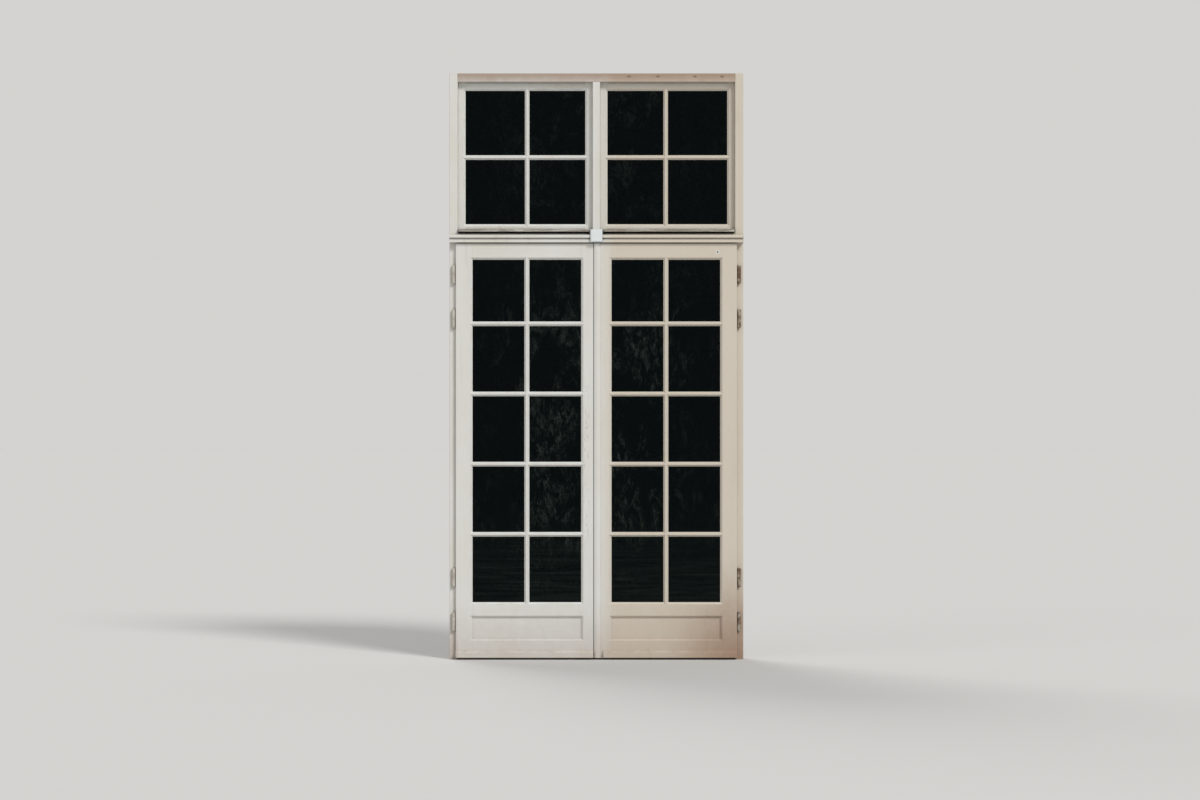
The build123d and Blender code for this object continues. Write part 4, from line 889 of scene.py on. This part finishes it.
class DOOR_OT_finish_ironwork(DoorOperator, Operator):
    """Finish the hinges, bolts, keepers, cremone and turn buttons"""

    bl_idname = "door.finish_ironwork"
    bl_label = "Finish the Ironwork"

    def execute(self, context):
        paint = context.scene.door_paint
        iron = context.scene.door_ironwork
        hinges = painted_iron_finish("Hinge paint", paint, iron, 0.6)
        flags = painted_iron_finish("Flag hinge paint", paint, iron, 0.25)
        cases = painted_iron_finish("Painted bolt case", paint, iron, 0.12)
        steel = metal_finish("Drawn steel", iron.steel, iron.tarnish, 0.75, 0.34, (700, 700, 12))
        oiled = metal_finish("Oiled iron", iron.iron, iron.tarnish, 0.5, 0.42)
        brass = metal_finish("Rubbed brass", iron.brass, iron.dull_brass, 0.9, 0.22)
        dress({
            hinges: ["frame_hinge_halves"] + both("hinge_halves"),
            flags: both("sash_hinge_halves"),
            cases: ["cremone_base", "cremone_cover", "rod_guides", "bolt_plates"],
            steel: ["upper_rod", "lower_rod", "top_bolt", "bottom_bolt", "keepers"],
            oiled: ["cremone_pinion"],
            brass: ["cremone_knob", "lower_turn_button", "upper_turn_button"],
        })
        return {"FINISHED"}


class DOOR_OT_drive_screws(DoorOperator, Operator):
    """Drive slotted screws into the plates, guides, keepers, case and turn buttons"""

    bl_idname = "door.drive_screws"
    bl_label = "Drive the Screws"

    def execute(self, context):
        paint = context.scene.door_paint
        iron = context.scene.door_ironwork
        painted = painted_iron_finish("Painted screws", paint, iron, 0.3)
        steel = metal_finish("Screw steel", iron.steel, iron.tarnish, 0.6, 0.4)
        brass = metal_finish("Screw brass", iron.brass, iron.dull_brass, 0.6, 0.3)
        small = iron.plate_screw_radius
        large = iron.case_screw_radius

        low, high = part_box("rod_guides")
        lines = (low.x + GUIDE_EAR, high.x - GUIDE_EAR)
        places = [(x, low.y + GUIDE_EAR, z) for z in self.guide_middles() for x in lines]
        drive("guide_screws", "right_leaf", places, small, painted)

        low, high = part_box("bolt_plates")
        places = [
            (x, low.y + PLATE_THICKNESS, bottom + share * BOLT_PLATE_LENGTH)
            for bottom in (low.z, high.z - BOLT_PLATE_LENGTH)
            for share in (0.3, 0.7)
            for x in (low.x + BOLT_PLATE_INSET, high.x - BOLT_PLATE_INSET)
        ]
        drive("bolt_plate_screws", "left_leaf", places, small, painted)

        low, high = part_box("cremone_cover")
        middle = (low.x + high.x) / 2
        levels = (low.z + CASE_SCREW_INSET, high.z - CASE_SCREW_INSET)
        places = [(middle, high.y - CASE_RIM, z) for z in levels]
        drive("case_screws", "right_leaf", places, large, painted)

        low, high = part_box("keepers")
        across = (low.y + high.y) / 2
        rods = (low.x + KEEPER_END, high.x - KEEPER_END)
        lines = [rod + side * KEEPER_SCREW_REACH for rod in rods for side in (-1, 1)]
        for name, z, up in (
            ("lower_keeper_screws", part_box("threshold")[1].z, 1),
            ("upper_keeper_screws", high.z - KEEPER_THICKNESS, -1),
        ):
            drive(name, "frame", [(x, across, z) for x in lines], small, steel, (0, 0, up))

        plate_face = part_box("head")[1].y + PLATE_THICKNESS
        for side, sign in (("left", -1), ("right", 1)):
            low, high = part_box(f"{side}_sash_hinge_halves")
            knuckle = max(abs(low.x), abs(high.x)) - FLAG_KNUCKLE_RADIUS
            on_sash = []
            on_frame = []
            for middle in (low.z, high.z - FLAG_HINGE_LENGTH / 2):
                for x, z in FLAG_SCREWS:
                    on_sash.append((sign * (knuckle - x), plate_face, middle + z))
                    on_frame.append((sign * (knuckle + x), plate_face, middle - z))
            drive(f"{side}_sash_hinge_screws", f"{side}_sash", on_sash, small, painted)
            drive(f"{side}_flag_hinge_screws", "frame", on_frame, small, painted)

        for name in ("lower_turn_button", "upper_turn_button"):
            low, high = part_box(name)
            centre = ((low.x + high.x) / 2, high.y, (low.z + high.z) / 2)
            drive(f"{name}_screw", name, [centre], large, brass)
        return {"FINISHED"}

    def guide_middles(self):
        """Middle heights of the rod guides, read from their lowest and highest points."""
        tolerance = 0.0015
        levels = sorted({round(v.co.z, 3) for v in NODES["rod_guides"].data.vertices})
        middles = []
        for level in levels:
            if any(abs(level + GUIDE_HEIGHT - other) < tolerance for other in levels):
                middles.append(level + GUIDE_HEIGHT / 2)
        return middles


class DOOR_OT_fit_seam_shade_strip(DoorOperator, Operator):
    """Fit a dark felt strip inside the seam, on the left leaf's edge, as painted shade of the seam"""

    bl_idname = "door.fit_draught_strip"
    bl_label = "Fit the Draught Strip"

    def execute(self, context):
        seam = context.scene.door_seam
        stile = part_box("left_meeting_stile")
        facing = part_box("right_meeting_stile")[0].x
        start = stile[1].x
        reach = facing - seam.clearance - start
        middle = stile[0].y + seam.setback + seam.width / 2
        low = stile[0].z + seam.end_margin
        high = stile[1].z - seam.end_margin
        mesh = bmesh.new()
        rings = []
        for level in range(seam.steps + 1):
            z = low + (high - low) * level / seam.steps
            ruffle = 1 - seam.ruffle * (0.5 + 0.5 * sin(level * STRIP_RUFFLE_STEP))
            ring = []
            for across, out in STRIP_PROFILE:
                point = (start + reach * out * ruffle, middle + seam.width * across, z)
                ring.append(mesh.verts.new(point))
            rings.append(ring)
        bridge(mesh, rings)
        mesh.faces.new(rings[0])
        mesh.faces.new(rings[-1])
        finished_piece("seam_shade_strip", "left_leaf", mesh, felt_finish(seam))
        return {"FINISHED"}


class DOOR_OT_drive_nail(DoorOperator, Operator):
    """Drive an old nail into the right leaf's top rail"""

    bl_idname = "door.drive_nail"
    bl_label = "Drive the Nail"

    def execute(self, context):
        iron = context.scene.door_ironwork
        mesh = bmesh.new()
        outward = Vector((0, -1, 0))
        add_nail_head(mesh, Vector(NAIL_PLACE), outward, iron.nail_radius, iron.screw_segments)
        rusty = metal_finish("Rusty nail", iron.rust, iron.iron, 0.3, 0.6)
        finished_piece("old_nail", "right_leaf", mesh, rusty)
        return {"FINISHED"}


class DOOR_OT_set_stage(DoorOperator, Operator):
    """Lay the floor, light the door and place the camera"""

    bl_idname = "door.set_stage"
    bl_label = "Set the Stage"

    def execute(self, context):
        stage = context.scene.door_stage
        self.lay_floor(stage)
        self.paint_background(context.scene, stage)
        self.hang_lamp("Key lamp", stage.key_level, round_right=34, up=40, softness=16)
        self.hang_lamp("Fill lamp", stage.fill_level, round_right=-50, up=20, softness=40)
        self.hang_lamp("Back lamp", stage.back_level, round_right=205, up=38, softness=30)
        self.place_camera(context.scene, stage)
        context.scene.view_settings.view_transform = "Standard"
        return {"FINISHED"}

    def lay_floor(self, stage):
        """Round floor at the height of the threshold's underside."""
        mesh = bmesh.new()
        bmesh.ops.create_circle(mesh, cap_ends=True, segments=96, radius=stage.floor_radius)
        finish = Finish("Studio floor")
        plain = {"Specular IOR Level": 0.0, "Roughness": 1.0, "Base Color": linear(stage.floor)}
        finish.feed(finish.shader, plain)
        floor = made_of("Studio floor", mesh, finish.material)
        floor.location.z = DOOR_BOX[0].z

    def paint_background(self, scene, stage):
        """Even light from all round. The camera, glass and metal see a plain pale backdrop."""
        world = bpy.data.worlds.new("Studio")
        world.use_nodes = True
        tree = world.node_tree
        tree.nodes.clear()
        rays = tree.nodes.new("ShaderNodeLightPath")
        seen = rays.outputs["Is Camera Ray"]
        for kind in ("Is Glossy Ray", "Is Transmission Ray"):
            either = tree.nodes.new("ShaderNodeMath")
            either.operation = "MAXIMUM"
            tree.links.new(seen, either.inputs[0])
            tree.links.new(rays.outputs[kind], either.inputs[1])
            seen = either.outputs[0]
        mix = tree.nodes.new("ShaderNodeMixShader")
        output = tree.nodes.new("ShaderNodeOutputWorld")
        tree.links.new(seen, mix.inputs[0])
        shades = ((1, (1, 1, 1, 1), stage.sky_level), (2, linear(stage.backdrop), 1.0))
        for place, colour, strength in shades:
            shade = tree.nodes.new("ShaderNodeBackground")
            shade.inputs["Color"].default_value = colour
            shade.inputs["Strength"].default_value = strength
            tree.links.new(shade.outputs[0], mix.inputs[place])
        tree.links.new(mix.outputs[0], output.inputs["Surface"])
        scene.world = world

    def hang_lamp(self, name, level, round_right, up, softness):
        """Broad even lamp, its angles in degrees: round to the right of the front, and up."""
        data = bpy.data.lights.new(name, "SUN")
        data.energy = level
        data.angle = radians(softness)
        lamp = bpy.data.objects.new(name, data)
        turn = radians(round_right)
        rise = radians(up)
        from_door = Vector((sin(turn) * cos(rise), -cos(turn) * cos(rise), sin(rise)))
        lamp.rotation_mode = "QUATERNION"
        lamp.rotation_quaternion = (-from_door).to_track_quat("-Z", "Y")
        lamp.location = from_door * LAMP_DISTANCE
        bpy.context.scene.collection.objects.link(lamp)

    def place_camera(self, scene, stage):
        """Level camera straight in front of the door."""
        data = bpy.data.cameras.new("Camera")
        data.lens = stage.lens
        data.sensor_width = 36
        data.shift_y = stage.rise
        data.clip_end = 400
        camera = bpy.data.objects.new("Camera", data)
        camera.location = (stage.camera_side, -stage.camera_distance, stage.camera_height)
        camera.rotation_euler = (radians(90), 0, 0)
        scene.collection.objects.link(camera)
        scene.camera = camera


class DOOR_PT_sidebar(Panel):
    """Settings and steps of the door's finishes"""

    bl_label = "French Door"
    bl_idname = "DOOR_PT_sidebar"
    bl_space_type = "VIEW_3D"
    bl_region_type = "UI"
    bl_category = "Door"

    def draw(self, context):
        for group_name, operators in SECTIONS:
            box = self.layout.box()
            group = getattr(context.scene, group_name)
            for setting in group.bl_rna.properties.keys():
                if setting not in ("rna_type", "name"):
                    box.prop(group, setting)
            for operator in operators:
                box.operator(operator.bl_idname)


GROUPS = {
    "door_paint": PaintSettings,
    "door_glass": GlassSettings,
    "door_ironwork": IronworkSettings,
    "door_seam": SeamSettings,
    "door_stage": StageSettings,
}
SECTIONS = (
    ("door_paint", (DOOR_OT_paint_timber, DOOR_OT_paint_block, DOOR_OT_finish_threshold)),
    ("door_glass", (DOOR_OT_glaze,)),
    ("door_ironwork", (DOOR_OT_finish_ironwork, DOOR_OT_drive_screws, DOOR_OT_drive_nail)),
    ("door_seam", (DOOR_OT_fit_seam_shade_strip,)),
    ("door_stage", (DOOR_OT_set_stage,)),
)
OPERATORS = [operator for _, operators in SECTIONS for operator in operators]


def register():
    """Add the settings, the operators and the panel."""
    for item in [*GROUPS.values(), *OPERATORS, DOOR_PT_sidebar]:
        bpy.utils.register_class(item)
    for name, group in GROUPS.items():
        setattr(bpy.types.Scene, name, PointerProperty(type=group))


def unregister():
    """Take them away again."""
    for name in GROUPS:
        delattr(bpy.types.Scene, name)
    for item in [DOOR_PT_sidebar, *reversed(OPERATORS), *GROUPS.values()]:
        bpy.utils.unregister_class(item)


def main():
    """Finish the whole door."""
    register()
    for operator in OPERATORS:
        group, name = operator.bl_idname.split(".")
        getattr(getattr(bpy.ops, group), name)()


if __name__ == "__main__":
    main()
